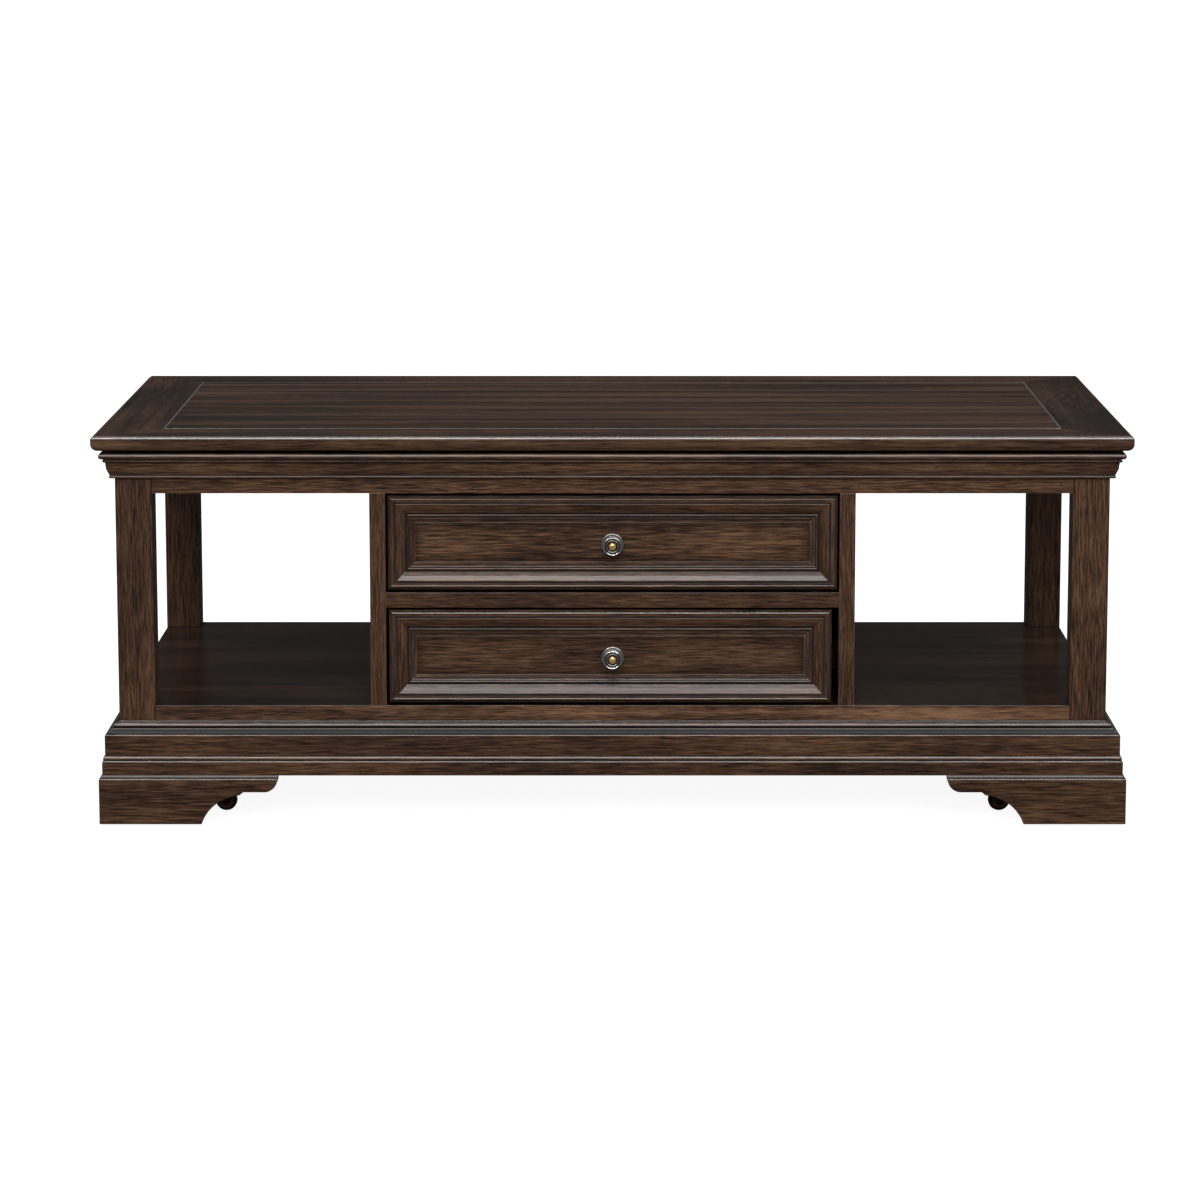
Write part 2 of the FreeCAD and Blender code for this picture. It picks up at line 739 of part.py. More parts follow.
def front_frame(x0, x1, z0, z1):
    """Mitred moulding round a drawer front; its profile runs in from the edge."""
    moulded = [(-a, front_thick - d) for a, d in scaled(frame_shares, frame_width, frame_relief)]
    profile = [(0.0, 0.0)] + moulded + [(-frame_width, 0.0)]
    pieces = mitred_ring(profile, (x1 - x0) / 2.0, (z1 - z0) / 2.0)
    centre = Vector((x0 + x1) / 2.0, face_y + front_thick, (z0 + z1) / 2.0)
    for piece in pieces:
        piece.rotate(Vector(0, 0, 0), Vector(1, 0, 0), 90)
        piece.translate(centre)
    return pieces


def build_drawer(name, opening_z, opening_height, side_gaps):
    x0 = -bay_x + side_gaps[0]
    x1 = bay_x - side_gaps[1]
    z0 = opening_z + front_gap_top
    z1 = opening_z + opening_height - front_gap_top
    frame = front_frame(x0, x1, z0, z1)
    panel_y = face_y + frame_relief
    back_of_front = face_y + front_thick
    panel = block(x0 + frame_width, x1 - frame_width, panel_y, back_of_front,
                  z0 + frame_width, z1 - frame_width)

    box_x = bay_x - slide_space
    box_z0 = opening_z + box_lift
    box_z1 = box_z0 + box_height
    box_y1 = back_of_front + box_length
    bottom_z = box_z0 + bottom_rise
    reach = box_x - box_wall + bottom_groove
    bottom = block(-reach, reach, back_of_front + box_wall - bottom_groove,
                   box_y1 - box_wall + bottom_groove, bottom_z, bottom_z + bottom_thick)
    side = block(-box_x, -box_x + box_wall, back_of_front, box_y1, box_z0, box_z1)
    sides = [side, flip_x(side)]
    box_front = block(-box_x + box_wall, box_x - box_wall, back_of_front,
                      back_of_front + box_wall, box_z0, box_z1)
    box_back = block(-box_x + box_wall, box_x - box_wall, box_y1 - box_wall, box_y1,
                     box_z0, box_z1)

    knob_z = (z0 + z1) / 2.0 - knob_drop
    out = Vector(0, -1, 0)
    seat = Vector(0.0, panel_y, knob_z)
    dome_y = panel_y - knob_shares[-1][1] * knob_length
    knob = turned(scaled(knob_shares, knob_radius, knob_length), knob_sides, seat, out)
    dome = turned(scaled(dome_shares, dome_radius, dome_rise), knob_sides,
                  Vector(0.0, dome_y, knob_z), out)

    keep(name + "_front_frame", frame)
    keep(name + "_front_panel", panel)
    keep(name + "_sides", [board.cut(bottom) for board in sides])
    keep(name + "_ends", [box_front.cut(bottom), box_back.cut(bottom)])
    keep(name + "_bottom", bottom)
    keep(name + "_knob", [knob, dome])
    return box_x


def build_slides(name, opening_z, box_x):
    """Outer channel on the divider, inner bar on the drawer box, on both sides."""
    middle = opening_z + box_lift + box_height / 2.0
    y0 = face_y + front_thick + slide_setback
    half = slide_height / 2.0
    channel_in = bay_x - slide_channel_depth
    outer = prism_y([(bay_x, middle - half), (bay_x, middle + half), (channel_in, middle + half),
                     (channel_in, middle + half - slide_gauge),
                     (bay_x - slide_gauge, middle + half - slide_gauge),
                     (bay_x - slide_gauge, middle - half + slide_gauge),
                     (channel_in, middle - half + slide_gauge), (channel_in, middle - half)],
                    y0, y0 + slide_length)
    rise = half - slide_gauge - slide_play
    inner = block(box_x, bay_x - slide_gauge - slide_play, y0, y0 + slide_length,
                  middle - rise, middle + rise)
    keep(name + "_slide_bars", [inner, flip_x(inner)])
    return [outer, flip_x(outer)]


def build_drawers():
    channels = []
    for name, opening_z, height, gaps in (
            ("upper_drawer", upper_z, upper_opening, front_gap_upper),
            ("lower_drawer", lower_z, lower_opening, front_gap_lower)):
        box_x = build_drawer(name, opening_z, height, gaps)
        channels += build_slides(name, opening_z, box_x)
    keep("case_slides", channels)


# Casters: drawn at the front right, with the wheel trailing outwards.

def caster_parts():
    pin_x = half_x - caster_inset_x - caster_trail
    pin_y = -half_y + caster_inset_y
    seat = skirt_z - block_thick
    plate_z = seat - caster_plate_gauge
    crown_top = plate_z - crown_gap
    crown_low = crown_top - crown_gauge
    half = caster_plate_side / 2.0
    plate = block(pin_x - half, pin_x + half, pin_y - half, pin_y + half, plate_z, seat)
    head_top = crown_low - crown_gap
    kingpin = rod(kingpin_radius, Vector(pin_x, pin_y, head_top), Vector(0, 0, 1),
                  plate_z - head_top)
    head = hexagon(kingpin_head_radius, Vector(pin_x, pin_y, head_top - kingpin_head_height),
                   Vector(0, 0, 1), kingpin_head_height)
    plate = plate.fuse([kingpin, head]).removeSplitter()

    cheek_in = wheel_width / 2.0 + cheek_gap
    cheek_out = cheek_in + cheek_gauge
    wheel_x = pin_x + caster_trail
    crown = block(pin_x - crown_half, pin_x + crown_half, pin_y - cheek_out, pin_y + cheek_out,
                  crown_low, crown_top)
    strip = [(pin_x - crown_half, crown_top), (pin_x - crown_half, crown_low - crown_gauge),
             (wheel_x - cheek_radius, wheel_radius),
             (wheel_x - cheek_radius / 2.0, wheel_radius - cheek_radius),
             (wheel_x + cheek_radius / 2.0, wheel_radius - cheek_radius),
             (wheel_x + cheek_radius, wheel_radius),
             (pin_x + crown_half, crown_low - crown_gauge), (pin_x + crown_half, crown_top)]
    cheeks = [prism_y(strip, pin_y + cheek_in, pin_y + cheek_out),
              prism_y(strip, pin_y - cheek_out, pin_y - cheek_in)]
    axle = rod(axle_radius, Vector(wheel_x, pin_y - cheek_in, wheel_radius), Vector(0, 1, 0),
               2.0 * cheek_in)
    fork = crown.fuse(cheeks + [axle]).removeSplitter()
    fork = fork.cut(rod(kingpin_radius + running_clearance, Vector(pin_x, pin_y, crown_low
                    - overrun), Vector(0, 0, 1), 2.0 * overrun + crown_gauge))
    side = wheel_width / 2.0
    wheel = rod(wheel_radius, Vector(wheel_x, pin_y - side, wheel_radius), Vector(0, 1, 0),
                wheel_width)
    bore = rod(axle_radius + running_clearance, Vector(wheel_x, pin_y - side, wheel_radius),
               Vector(0, 1, 0), wheel_width)
    return plate, fork, wheel.cut(bore)


def build_casters():
    plate, fork, wheel = caster_parts()
    places = {"front_right": lambda shape: shape, "front_left": flip_x, "back_right": flip_y,
              "back_left": lambda shape: flip_x(flip_y(shape))}
    keep("caster_plates", [place(plate) for place in places.values()])
    for where, place in places.items():
        keep("caster_fork_" + where, place(fork))
        keep("caster_wheel_" + where, place(wheel))


def main():
    build_legs()
    build_aprons()
    build_drawer_case()
    build_shelf()
    build_mouldings()
    build_feet()
    build_top()
    build_mechanism()
    build_springs()
    build_bumpers()
    build_drawers()
    build_casters()
    os.makedirs("parts", exist_ok=True)
    for name, solids in nodes.items():
        shape = solids[0] if len(solids) == 1 else Part.makeCompound(solids)
        shape.exportStep("parts/" + name + ".step")


main()
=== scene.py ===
import math

import bmesh
import bpy
from bpy.props import FloatProperty, FloatVectorProperty, IntProperty, PointerProperty
from mathutils import Matrix, Vector


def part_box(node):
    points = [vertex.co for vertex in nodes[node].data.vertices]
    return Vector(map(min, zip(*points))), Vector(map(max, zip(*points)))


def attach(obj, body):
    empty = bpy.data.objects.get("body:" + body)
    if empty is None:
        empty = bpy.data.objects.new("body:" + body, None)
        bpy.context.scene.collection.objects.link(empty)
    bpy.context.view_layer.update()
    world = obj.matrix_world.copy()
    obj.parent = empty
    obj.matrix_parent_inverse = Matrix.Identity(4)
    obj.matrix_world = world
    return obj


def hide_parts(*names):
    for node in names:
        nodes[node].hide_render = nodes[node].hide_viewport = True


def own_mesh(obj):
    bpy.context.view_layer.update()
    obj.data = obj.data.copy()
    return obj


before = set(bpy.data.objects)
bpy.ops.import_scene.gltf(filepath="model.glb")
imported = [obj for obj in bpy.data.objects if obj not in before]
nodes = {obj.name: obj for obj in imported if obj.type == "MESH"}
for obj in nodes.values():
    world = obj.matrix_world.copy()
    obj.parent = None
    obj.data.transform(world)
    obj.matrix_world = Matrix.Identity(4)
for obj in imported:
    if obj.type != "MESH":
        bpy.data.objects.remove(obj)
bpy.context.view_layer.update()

bl_info = {
    "name": "Lift top cocktail table",
    "version": (1, 0, 0),
    "blender": (4, 5, 0),
    "location": "View3D > Sidebar > Table",
    "description": "Dresses the packed table: stained wood, knobs, springs, casters and stage",
    "category": "Object",
}

mm = 0.001
sides = (-1, 1)
corner_names = ("front_left", "front_right", "back_left", "back_right")
white = (1.0, 1.0, 1.0, 1.0)

# Steps round each turned shape
knob_steps = 64
dome_steps = 48
screw_steps = 24
wheel_steps = 56
wire_steps = 8

# Where dark glaze and painted shade fill the quirks of the mouldings: (middle, reach) of each
# line in millimetres, up from the foot of a moulding or of the slab, or in from the edge of a
# drawer front.
cornice_quirks = ((3.9, 0.9), (20.0, 1.1), (24.1, 0.8))
base_quirks = ((30.5, 2.5),)
frame_quirks = ((2.6, 0.8), (8.8, 1.1), (22.7, 1.1), (26.9, 0.9), (30.5, 0.8))
seam_quirks = ((17.75, 0.6),)

# Where the mouldings step back: glaze and painted shade lie there as well, and no arris is rubbed
# over.
base_ledges = ((27.85, 1.15), (34.6, 2.0), (40.4, 1.1))
skirt_ledges = ((18.35, 0.8),)
foot_ledges = ((57.3, 0.55), (59.7, 1.4))


# Sizes and colours that a user would change

class TableWood(bpy.types.PropertyGroup):
    stain_dark: FloatVectorProperty(
        name="Dark grain", description="Colour of the darkest figure in the stained wood",
        subtype="COLOR", size=3, min=0.0, max=1.0, default=(0.016, 0.0092, 0.0068))
    stain_mid: FloatVectorProperty(
        name="Ground", description="Main colour of the stained wood",
        subtype="COLOR", size=3, min=0.0, max=1.0, default=(0.054, 0.0280, 0.0168))
    stain_light: FloatVectorProperty(
        name="Light grain", description="Colour of the reddish streaks in the stained wood",
        subtype="COLOR", size=3, min=0.0, max=1.0, default=(0.112, 0.062, 0.036))
    fleck: FloatVectorProperty(
        name="Flecks", description="Colour of the short warm flecks where the stain is thin",
        subtype="COLOR", size=3, min=0.0, max=1.0, default=(0.175, 0.080, 0.034))
    # The dark colour put into grooves, hollows, the edges of the drawer panels and the shelf's
    # top: partly glaze, partly painted shade.
    glaze_and_shade: FloatVectorProperty(
        name="Glaze", description="Colour of the dark glaze left in grooves and corners",
        subtype="COLOR", size=3, min=0.0, max=1.0, default=(0.0030, 0.0022, 0.0020))
    gloss: FloatProperty(
        name="Roughness", description="Roughness of the lacquer",
        subtype="FACTOR", min=0.0, max=1.0, default=0.20)
    arris: FloatProperty(
        name="Arris", description="How far the lacquered edges are rounded over",
        subtype="DISTANCE", unit="LENGTH", min=0.0, max=0.01, default=0.0009)
    # How far the ambient-occlusion darkening reaches out of grooves and corners: glaze, and
    # painted shade.
    glaze_and_shade_reach: FloatProperty(
        name="Glaze reach", description="How far the glaze spreads out of a groove",
        subtype="DISTANCE", unit="LENGTH", min=0.0, max=0.05, default=0.0045)
    # The drawer panels darken in from their edges: glaze, and painted shade under the frame
    # around them.
    panel_fade: FloatProperty(
        name="Panel fade",
        description="How far the glaze fades in from the edge of a drawer panel",
        subtype="DISTANCE", unit="LENGTH", min=0.0, max=0.05, default=0.013)
    box_wood: FloatVectorProperty(
        name="Box wood", description="Colour of the drawer boxes",
        subtype="COLOR", size=3, min=0.0, max=1.0, default=(0.46, 0.29, 0.155))


class TableMetal(bpy.types.PropertyGroup):
    nickel: FloatVectorProperty(
        name="Nickel", description="Colour of the knobs' rings",
        subtype="COLOR", size=3, min=0.0, max=1.0, default=(0.32, 0.315, 0.30))
    gold: FloatVectorProperty(
        name="Gold", description="Colour of the knobs' centres",
        subtype="COLOR", size=3, min=0.0, max=1.0, default=(0.56, 0.36, 0.15))
    enamel: FloatVectorProperty(
        name="Enamel", description="Colour of the lift arms and brackets",
        subtype="COLOR", size=3, min=0.0, max=1.0, default=(0.022, 0.022, 0.024))
    zinc: FloatVectorProperty(
        name="Zinc", description="Colour of the screws and springs",
        subtype="COLOR", size=3, min=0.0, max=1.0, default=(0.62, 0.63, 0.64))
    # The slides are darkened to near black: painted shade, so that the gaps beside the drawers
    # look dark.
    slide: FloatVectorProperty(
        name="Slides", description="Colour of the blackened drawer slides",
        subtype="COLOR", size=3, min=0.0, max=1.0, default=(0.035, 0.034, 0.036))
    wheel: FloatVectorProperty(
        name="Wheel", description="Colour of the caster wheels",
        subtype="COLOR", size=3, min=0.0, max=1.0, default=(0.020, 0.012, 0.010))
    knob_radius: FloatProperty(
        name="Knob radius", description="Radius of a knob's back plate",
        subtype="DISTANCE", unit="LENGTH", default=0.014)
    knob_length: FloatProperty(
        name="Knob length", description="How far a knob stands out of its panel",
        subtype="DISTANCE", unit="LENGTH", default=0.0173)
    dome_radius: FloatProperty(
        name="Dome radius", description="Radius of the gold centre",
        subtype="DISTANCE", unit="LENGTH", default=0.0049)
    spring_turns: IntProperty(
        name="Spring turns", description="Turns in each lift spring", min=4, max=60, default=19)
    spring_wire: FloatProperty(
        name="Spring wire", description="Radius of the spring wire",
        subtype="DISTANCE", unit="LENGTH", default=0.0009)
    screw_radius: FloatProperty(
        name="Screw head", description="Radius of a screw's head",
        subtype="DISTANCE", unit="LENGTH", default=0.0040)


class TableStage(bpy.types.PropertyGroup):
    front_power: FloatProperty(
        name="Front box", description="Power of the large soft light in front",
        subtype="POWER", unit="POWER", min=0.0, default=165.0)
    top_power: FloatProperty(
        name="Top box", description="Power of the soft light above",
        subtype="POWER", unit="POWER", min=0.0, default=60.0)
    front_sheen: FloatProperty(
        name="Front sheen", description="Power of the panel in front that the lacquer reflects",
        subtype="POWER", unit="POWER", min=0.0, default=300.0)
    top_sheen: FloatProperty(
        name="Overhead sheen", description="Power of the strip above that the arrises reflect",
        subtype="POWER", unit="POWER", min=0.0, default=430.0)
    edge_sheen: FloatProperty(
        name="Edge sheen", description="Power of the strip that the edge of the top reflects",
        subtype="POWER", unit="POWER", min=0.0, default=260.0)
    room_level: FloatProperty(
        name="Room", description="Strength of the plain light from all around", min=0.0,
        default=0.32)
    gloss_level: FloatProperty(
        name="Room in gloss", description="How much of the room and floor glossy surfaces show",
        min=0.0, default=0.034)
    floor_shade: FloatProperty(
        name="Floor", description="How pale the floor is", min=0.0, max=1.0, default=0.35)
    floor_glow: FloatProperty(
        name="Floor white", description="How much white the floor shows the camera by itself",
        min=0.0, default=0.92)
    lens: FloatProperty(
        name="Lens", description="Focal length of the camera", subtype="DISTANCE_CAMERA",
        unit="CAMERA", default=127.65)
    camera_place: FloatVectorProperty(
        name="Camera", description="Where the camera stands", subtype="TRANSLATION",
        unit="LENGTH", size=3, default=(0.0118, -5.4627, 1.1419))
    camera_pitch: FloatProperty(
        name="Camera pitch", description="How far the camera looks down", subtype="ANGLE",
        unit="ROTATION", default=math.radians(9.49))


# Node trees

def put(tree, kind, inputs=None, **settings):
    """Adds a node, sets its options and fills or links its inputs."""
    node = tree.nodes.new(kind)
    for key, value in settings.items():
        setattr(node, key, value)
    for key, value in (inputs or {}).items():
        if isinstance(value, bpy.types.NodeSocket):
            tree.links.new(value, node.inputs[key])
        else:
            node.inputs[key].default_value = value
    return node


def maths(tree, operation, *values):
    """One arithmetic step on sockets or numbers."""
    return put(tree, "ShaderNodeMath", dict(enumerate(values)), operation=operation).outputs[0]


def pick(tree, factor, low, high):
    """A number between low and high."""
    return put(tree, "ShaderNodeMix", {0: factor, 2: low, 3: high}).outputs[0]


def tint(tree, factor, low, high, way="MIX"):
    """A colour between low and high."""
    inputs = {0: factor, 6: low, 7: high}
    return put(tree, "ShaderNodeMix", inputs, data_type="RGBA", blend_type=way).outputs[2]


def remap(tree, value, from_low, from_high, to_low, to_high):
    """A number moved from one range to another, and held within it."""
    inputs = {0: value, 1: from_low, 2: from_high, 3: to_low, 4: to_high}
    return put(tree, "ShaderNodeMapRange", inputs).outputs[0]


def ramp(tree, value, stops):
    """A colour ramp through (place, colour) stops."""
    node = put(tree, "ShaderNodeValToRGB", {0: value})
    elements = node.color_ramp.elements
    while len(elements) < len(stops):
        elements.new(0.5)
    for element, (place, colour) in zip(elements, stops):
        element.position = place
        element.color = rgba(colour)
    return node.outputs[0]


def noise(tree, lanes, stretch, detail=3.0, roughness=0.55, distortion=0.0):
    """Noise stretched by a number of cycles per metre along, across and through the grain."""
    vector = put(tree, "ShaderNodeCombineXYZ",
                 {axis: maths(tree, "MULTIPLY", lane, rate)
                  for axis, (lane, rate) in enumerate(zip(lanes, stretch))}).outputs[0]
    return put(tree, "ShaderNodeTexNoise",
               {"Vector": vector, "Scale": 1.0, "Detail": detail, "Roughness": roughness,
                "Distortion": distortion}).outputs[0]


def even_noise(tree, place, scale, detail):
    """Noise of the same size in every direction."""
    inputs = {"Vector": place, "Scale": scale, "Detail": detail}
    return put(tree, "ShaderNodeTexNoise", inputs).outputs[0]


def rounding(tree, radius, samples):
    """The normal over rounded edges, the true normal, and how far the two agree."""
    rounded = put(tree, "ShaderNodeBevel", {"Radius": radius}, samples=samples).outputs[0]
    true_normal = put(tree, "ShaderNodeNewGeometry").outputs["Normal"]
    turn = put(tree, "ShaderNodeVectorMath", {0: rounded, 1: true_normal},
               operation="DOT_PRODUCT").outputs["Value"]
    return rounded, true_normal, turn


def new_material(name):
    """A material with its node tree and its shader."""
    material = bpy.data.materials.new(name)
    material.use_nodes = True
    tree = material.node_tree
    return material, tree, tree.nodes["Principled BSDF"]


def rgba(colour):
    """A colour with full alpha."""
    return tuple(colour) + (1.0,)


# Wood

def grain_lanes(tree, grain, ring):
    """Coordinates along, across and through the grain, in metres.

    A mitred ring turns its grain at the mitres: ring holds the middle and the half sizes.
    The last output numbers its boards: 0 left, 1 right, 3 low or front, 4 high or back."""
    place = put(tree, "ShaderNodeTexCoord").outputs["Object"]
    x, y, z = put(tree, "ShaderNodeSeparateXYZ", {0: place}).outputs[:3]
    if grain in ("x", "y", "z"):
        order = {"x": (x, y, z), "y": (y, x, z), "z": (z, x, y)}[grain]
        return order + (0.0,)
    first, second, through = (x, y, z) if grain == "plan" else (x, z, y)
    (centre_u, centre_v), (half_u, half_v) = ring
    u = maths(tree, "SUBTRACT", first, centre_u)
    v = maths(tree, "SUBTRACT", second, centre_v)
    past_u = maths(tree, "SUBTRACT", maths(tree, "ABSOLUTE", u), half_u)
    past_v = maths(tree, "SUBTRACT", maths(tree, "ABSOLUTE", v), half_v)
    lengthwise = maths(tree, "GREATER_THAN", past_v, past_u)
    along = pick(tree, lengthwise, v, u)
    across = pick(tree, lengthwise, u, v)
    side = pick(tree, lengthwise, maths(tree, "GREATER_THAN", u, 0.0),
                maths(tree, "ADD", maths(tree, "GREATER_THAN", v, 0.0), 3.0))
    through = maths(tree, "ADD", through, maths(tree, "MULTIPLY", side, 0.37))
    return along, across, through, side


def wood_colour(tree, wood, lanes, side, tone, stripes, bold, flecks, contrast, boards):
    """The colour of the grain, its lightest streaks, its fibre and its pores."""
    rate, share = stripes
    figure = noise(tree, lanes, (2.6, 17.0, 17.0), detail=4.0, distortion=0.8)
    stripe = noise(tree, lanes, (0.9, rate, rate), detail=3.0, roughness=0.6)
    fibre = noise(tree, lanes, (30.0, 520.0, 520.0), detail=2.0, roughness=0.6)
    dash = noise(tree, lanes, (28.0, 760.0, 760.0), detail=1.5, roughness=0.7)
    tick = noise(tree, lanes, (95.0, 1100.0, 1100.0), detail=2.0)
    patch = noise(tree, lanes, (4.0, 9.0, 9.0), detail=2.0)
    large = 0.44 - share * 0.4
    fine = 0.36 - share * 0.3 + large * (1.0 - bold)
    broad = 0.20 - share * 0.3
    value = maths(tree, "MULTIPLY", figure, large * bold)
    for layer, weight in ((stripe, share), (fibre, fine), (patch, broad)):
        value = maths(tree, "ADD", value, maths(tree, "MULTIPLY", layer, weight))
    average = 0.51
    spread = 0.11 / contrast
    value = remap(tree, value, average - spread, average + spread, 0.0, 1.0)
    for number, darker in enumerate(boards):
        there = maths(tree, "COMPARE", side, float(number), 0.5)
        value = maths(tree, "SUBTRACT", value, maths(tree, "MULTIPLY", there, darker))
    dark, middle, light, fleck = ([channel * tone for channel in colour] for colour in
                                  (wood.stain_dark, wood.stain_mid, wood.stain_light,
                                   wood.fleck))
    colour = ramp(tree, value, [(0.0, dark), (0.48, middle), (1.0, light)])
    lit = maths(tree, "MULTIPLY", remap(tree, dash, 0.50, 0.68, 0.0, 1.0),
                remap(tree, patch, 0.40, 0.60, 0.25, 1.0))
    colour = tint(tree, maths(tree, "MULTIPLY", lit, flecks), colour, rgba(fleck))
    pores = remap(tree, tick, 0.58, 0.70, 1.0, 0.40)
    colour = tint(tree, 1.0, colour, pores, "MULTIPLY")
    return colour, light, fibre, pores


def moulding_glaze_and_shade(tree, wood, colour, normal, true_normal, ring, quirks, ledges):
    """Glaze and painted shade in the lines of a moulding: the new colour and normal, and how dull
    they are.
    """
    foot, lines = quirks
    if foot is None:
        level = inset(tree, ring)
    else:
        level = maths(tree, "SUBTRACT", height_of(tree), foot)
    dull = glaze_and_shade_lines(tree, level, lines)
    # Darkens the quirks: glaze, and painted shade in the grooves.
    colour = tint(tree, maths(tree, "MULTIPLY", dull, 0.96), colour, rgba(wood.glaze_and_shade))
    if ledges:
        # Darkens the steps as well: glaze, and painted shade on the ledges.
        clean = glaze_and_shade_lines(tree, level, ledges)
        colour = tint(tree, maths(tree, "MULTIPLY", clean, 0.85), colour, rgba(wood.glaze_and_shade))
        normal = put(tree, "ShaderNodeMix", {0: clean, 4: normal, 5: true_normal},
                     data_type="VECTOR").outputs[1]
    return colour, normal, dull


def stained_wood(name, wood, grain, ring=None, tone=1.0, stripes=(95.0, 0.20), bold=0.5,
                 flecks=0.65, contrast=1.0, seed=0.0, glaze_and_shade_hollows=True, field=None, quirks=None,
                 ledges=(), edge=1.0, boards=(0.0, 0.0), painted_shade_on_top=0.0):
    """Dark lacquered cherry: figure, stripes, flecks, fibre and pores that follow the grain.

    stripes gives how many stripes lie in a metre across the grain, and how much they show;
    bold gives how much of the large figure shows, and fine fibre takes the place of the rest.
    field holds the middle and the half sizes of a panel that darkens towards its edges, with
    glaze and painted shade.
    quirks holds the height of a moulding's foot, or None for a frame, and its lines of glaze and
    painted shade; ledges holds those of its steps.
    edge rounds the arrises over more or less; boards darkens the left and the right board;
    the last argument paints shade: it darkens the faces that look up."""
    material, tree, shader = new_material(name)
    along, across, through, side = grain_lanes(tree, grain, ring)
    lanes = (maths(tree, "ADD", along, seed), across, through)
    colour, light, fibre, pores = wood_colour(tree, wood, lanes, side, tone, stripes, bold,
                                              flecks, contrast, boards)
    radius = wood.arris * edge
    if grain == "plan" and edge == 1.0:
        # The outer edge of the top is rounded over more than the groove inside it.
        rim = 8.0 * mm
        outer = maths(tree, "LESS_THAN", inset(tree, ring, (0, 1)), rim)
        radius = pick(tree, outer, wood.arris, wood.arris * 3.0)
    normal, true_normal, turn = rounding(tree, radius, 8)
    dull = 0.0
    # Darkens the faces that look up: painted shade.
    if painted_shade_on_top:
        up = put(tree, "ShaderNodeSeparateXYZ", {0: true_normal}).outputs[2]
        colour = tint(tree, remap(tree, up, 0.6, 0.9, 0.0, painted_shade_on_top), colour, rgba(wood.glaze_and_shade))
    # Darkens the panel towards its edges: glaze, and painted shade under the frame.
    if field:
        fade = remap(tree, inset(tree, field), 0.0, wood.panel_fade, 0.62, 0.0)
        colour = tint(tree, fade, colour, rgba(wood.glaze_and_shade))
    if quirks:
        colour, normal, dull = moulding_glaze_and_shade(tree, wood, colour, normal, true_normal, ring,
                                              quirks, ledges)
    # Darkens what ambient occlusion finds: glaze in grooves and corners, and painted shade under
    # overhangs and between parts.
    if glaze_and_shade_hollows:
        hollow = put(tree, "ShaderNodeAmbientOcclusion", {"Distance": wood.glaze_and_shade_reach},
                     samples=8).outputs["AO"]
        deep = maths(tree, "POWER", remap(tree, hollow, 0.94, 0.40, 0.0, 1.0), 1.3)
        colour = tint(tree, maths(tree, "MULTIPLY", deep, 0.90), colour, rgba(wood.glaze_and_shade))
    # Lightens the rounded edges: rubbed wear, and partly a painted highlight along the arrises.
    rubbed_and_highlit = remap(tree, turn, 0.985, 0.80, 0.0, 0.15)
    colour = tint(tree, rubbed_and_highlit, colour, rgba([channel * 1.25 for channel in light]))
    tree.links.new(colour, shader.inputs["Base Color"])
    gloss = remap(tree, fibre, 0.3, 0.7, wood.gloss - 0.02, wood.gloss + 0.03)
    tree.links.new(pick(tree, dull, gloss, 1.0), shader.inputs["Roughness"])
    shader.inputs["Specular IOR Level"].default_value = 0.38
    height = maths(tree, "ADD", maths(tree, "MULTIPLY", fibre, 0.5),
                   maths(tree, "MULTIPLY", pores, 0.5))
    bump = put(tree, "ShaderNodeBump", {"Strength": remap(tree, turn, 0.95, 0.995, 0.0, 0.045),
                                        "Distance": 0.0003, "Height": height,
                                        "Normal": normal})
    tree.links.new(bump.outputs[0], shader.inputs["Normal"])
    return material


def height_of(tree):
    """The height of a point, in metres."""
    place = put(tree, "ShaderNodeTexCoord").outputs["Object"]
    return put(tree, "ShaderNodeSeparateXYZ", {0: place}).outputs[2]


def inset(tree, ring, axes=(0, 2)):
    """How far a point lies inside the outer edge of a frame or panel, seen on two axes."""
    place = put(tree, "ShaderNodeTexCoord").outputs["Object"]
    parts = put(tree, "ShaderNodeSeparateXYZ", {0: place}).outputs
    near = []
    for value, centre, half in zip([parts[axis] for axis in axes], *ring):
        past = maths(tree, "ABSOLUTE", maths(tree, "SUBTRACT", value, centre))
        near.append(maths(tree, "SUBTRACT", half, past))
    return maths(tree, "MINIMUM", *near)


def glaze_and_shade_lines(tree, value, lines):
    """How much glaze and painted shade lies at a value: full on the middle of each line, none
    past its reach.
    """
    level = 0.0
    for middle, reach in lines:
        away = maths(tree, "ABSOLUTE", maths(tree, "SUBTRACT", value, middle * mm))
        line = remap(tree, away, 0.75 * reach * mm, reach * mm, 1.0, 0.0)
        level = maths(tree, "MAXIMUM", level, line)
    return level


def plain_wood(name, colour, grain, seed, roughness=0.5):
    """Clear finished hardwood, plywood or bare softwood inside the table."""
    material, tree, shader = new_material(name)
    along, across, through, _ = grain_lanes(tree, grain, None)
    lanes = (maths(tree, "ADD", along, seed), across, through)
    figure = noise(tree, lanes, (1.6, 26.0, 26.0), detail=4.0, distortion=1.1)
    fibre = noise(tree, lanes, (14.0, 540.0, 540.0), detail=3.0)
    value = maths(tree, "ADD", maths(tree, "MULTIPLY", figure, 0.7),
                  maths(tree, "MULTIPLY", fibre, 0.3))
    deep = [channel * 0.55 for channel in colour]
    pale = [min(1.0, channel * 1.18) for channel in colour]
    shade = ramp(tree, value, [(0.34, deep), (0.52, list(colour)), (0.68, pale)])
    tree.links.new(shade, shader.inputs["Base Color"])
    tree.links.new(remap(tree, fibre, 0.3, 0.7, roughness - 0.06, roughness + 0.08),
                   shader.inputs["Roughness"])
    rounded = put(tree, "ShaderNodeBevel", {"Radius": 0.0008}, samples=4)
    bump = put(tree, "ShaderNodeBump", {"Strength": 0.2, "Distance": 0.0003, "Height": fibre,
                                        "Normal": rounded.outputs[0]})
    tree.links.new(bump.outputs[0], shader.inputs["Normal"])
    return material


# Metal, plastic and rubber

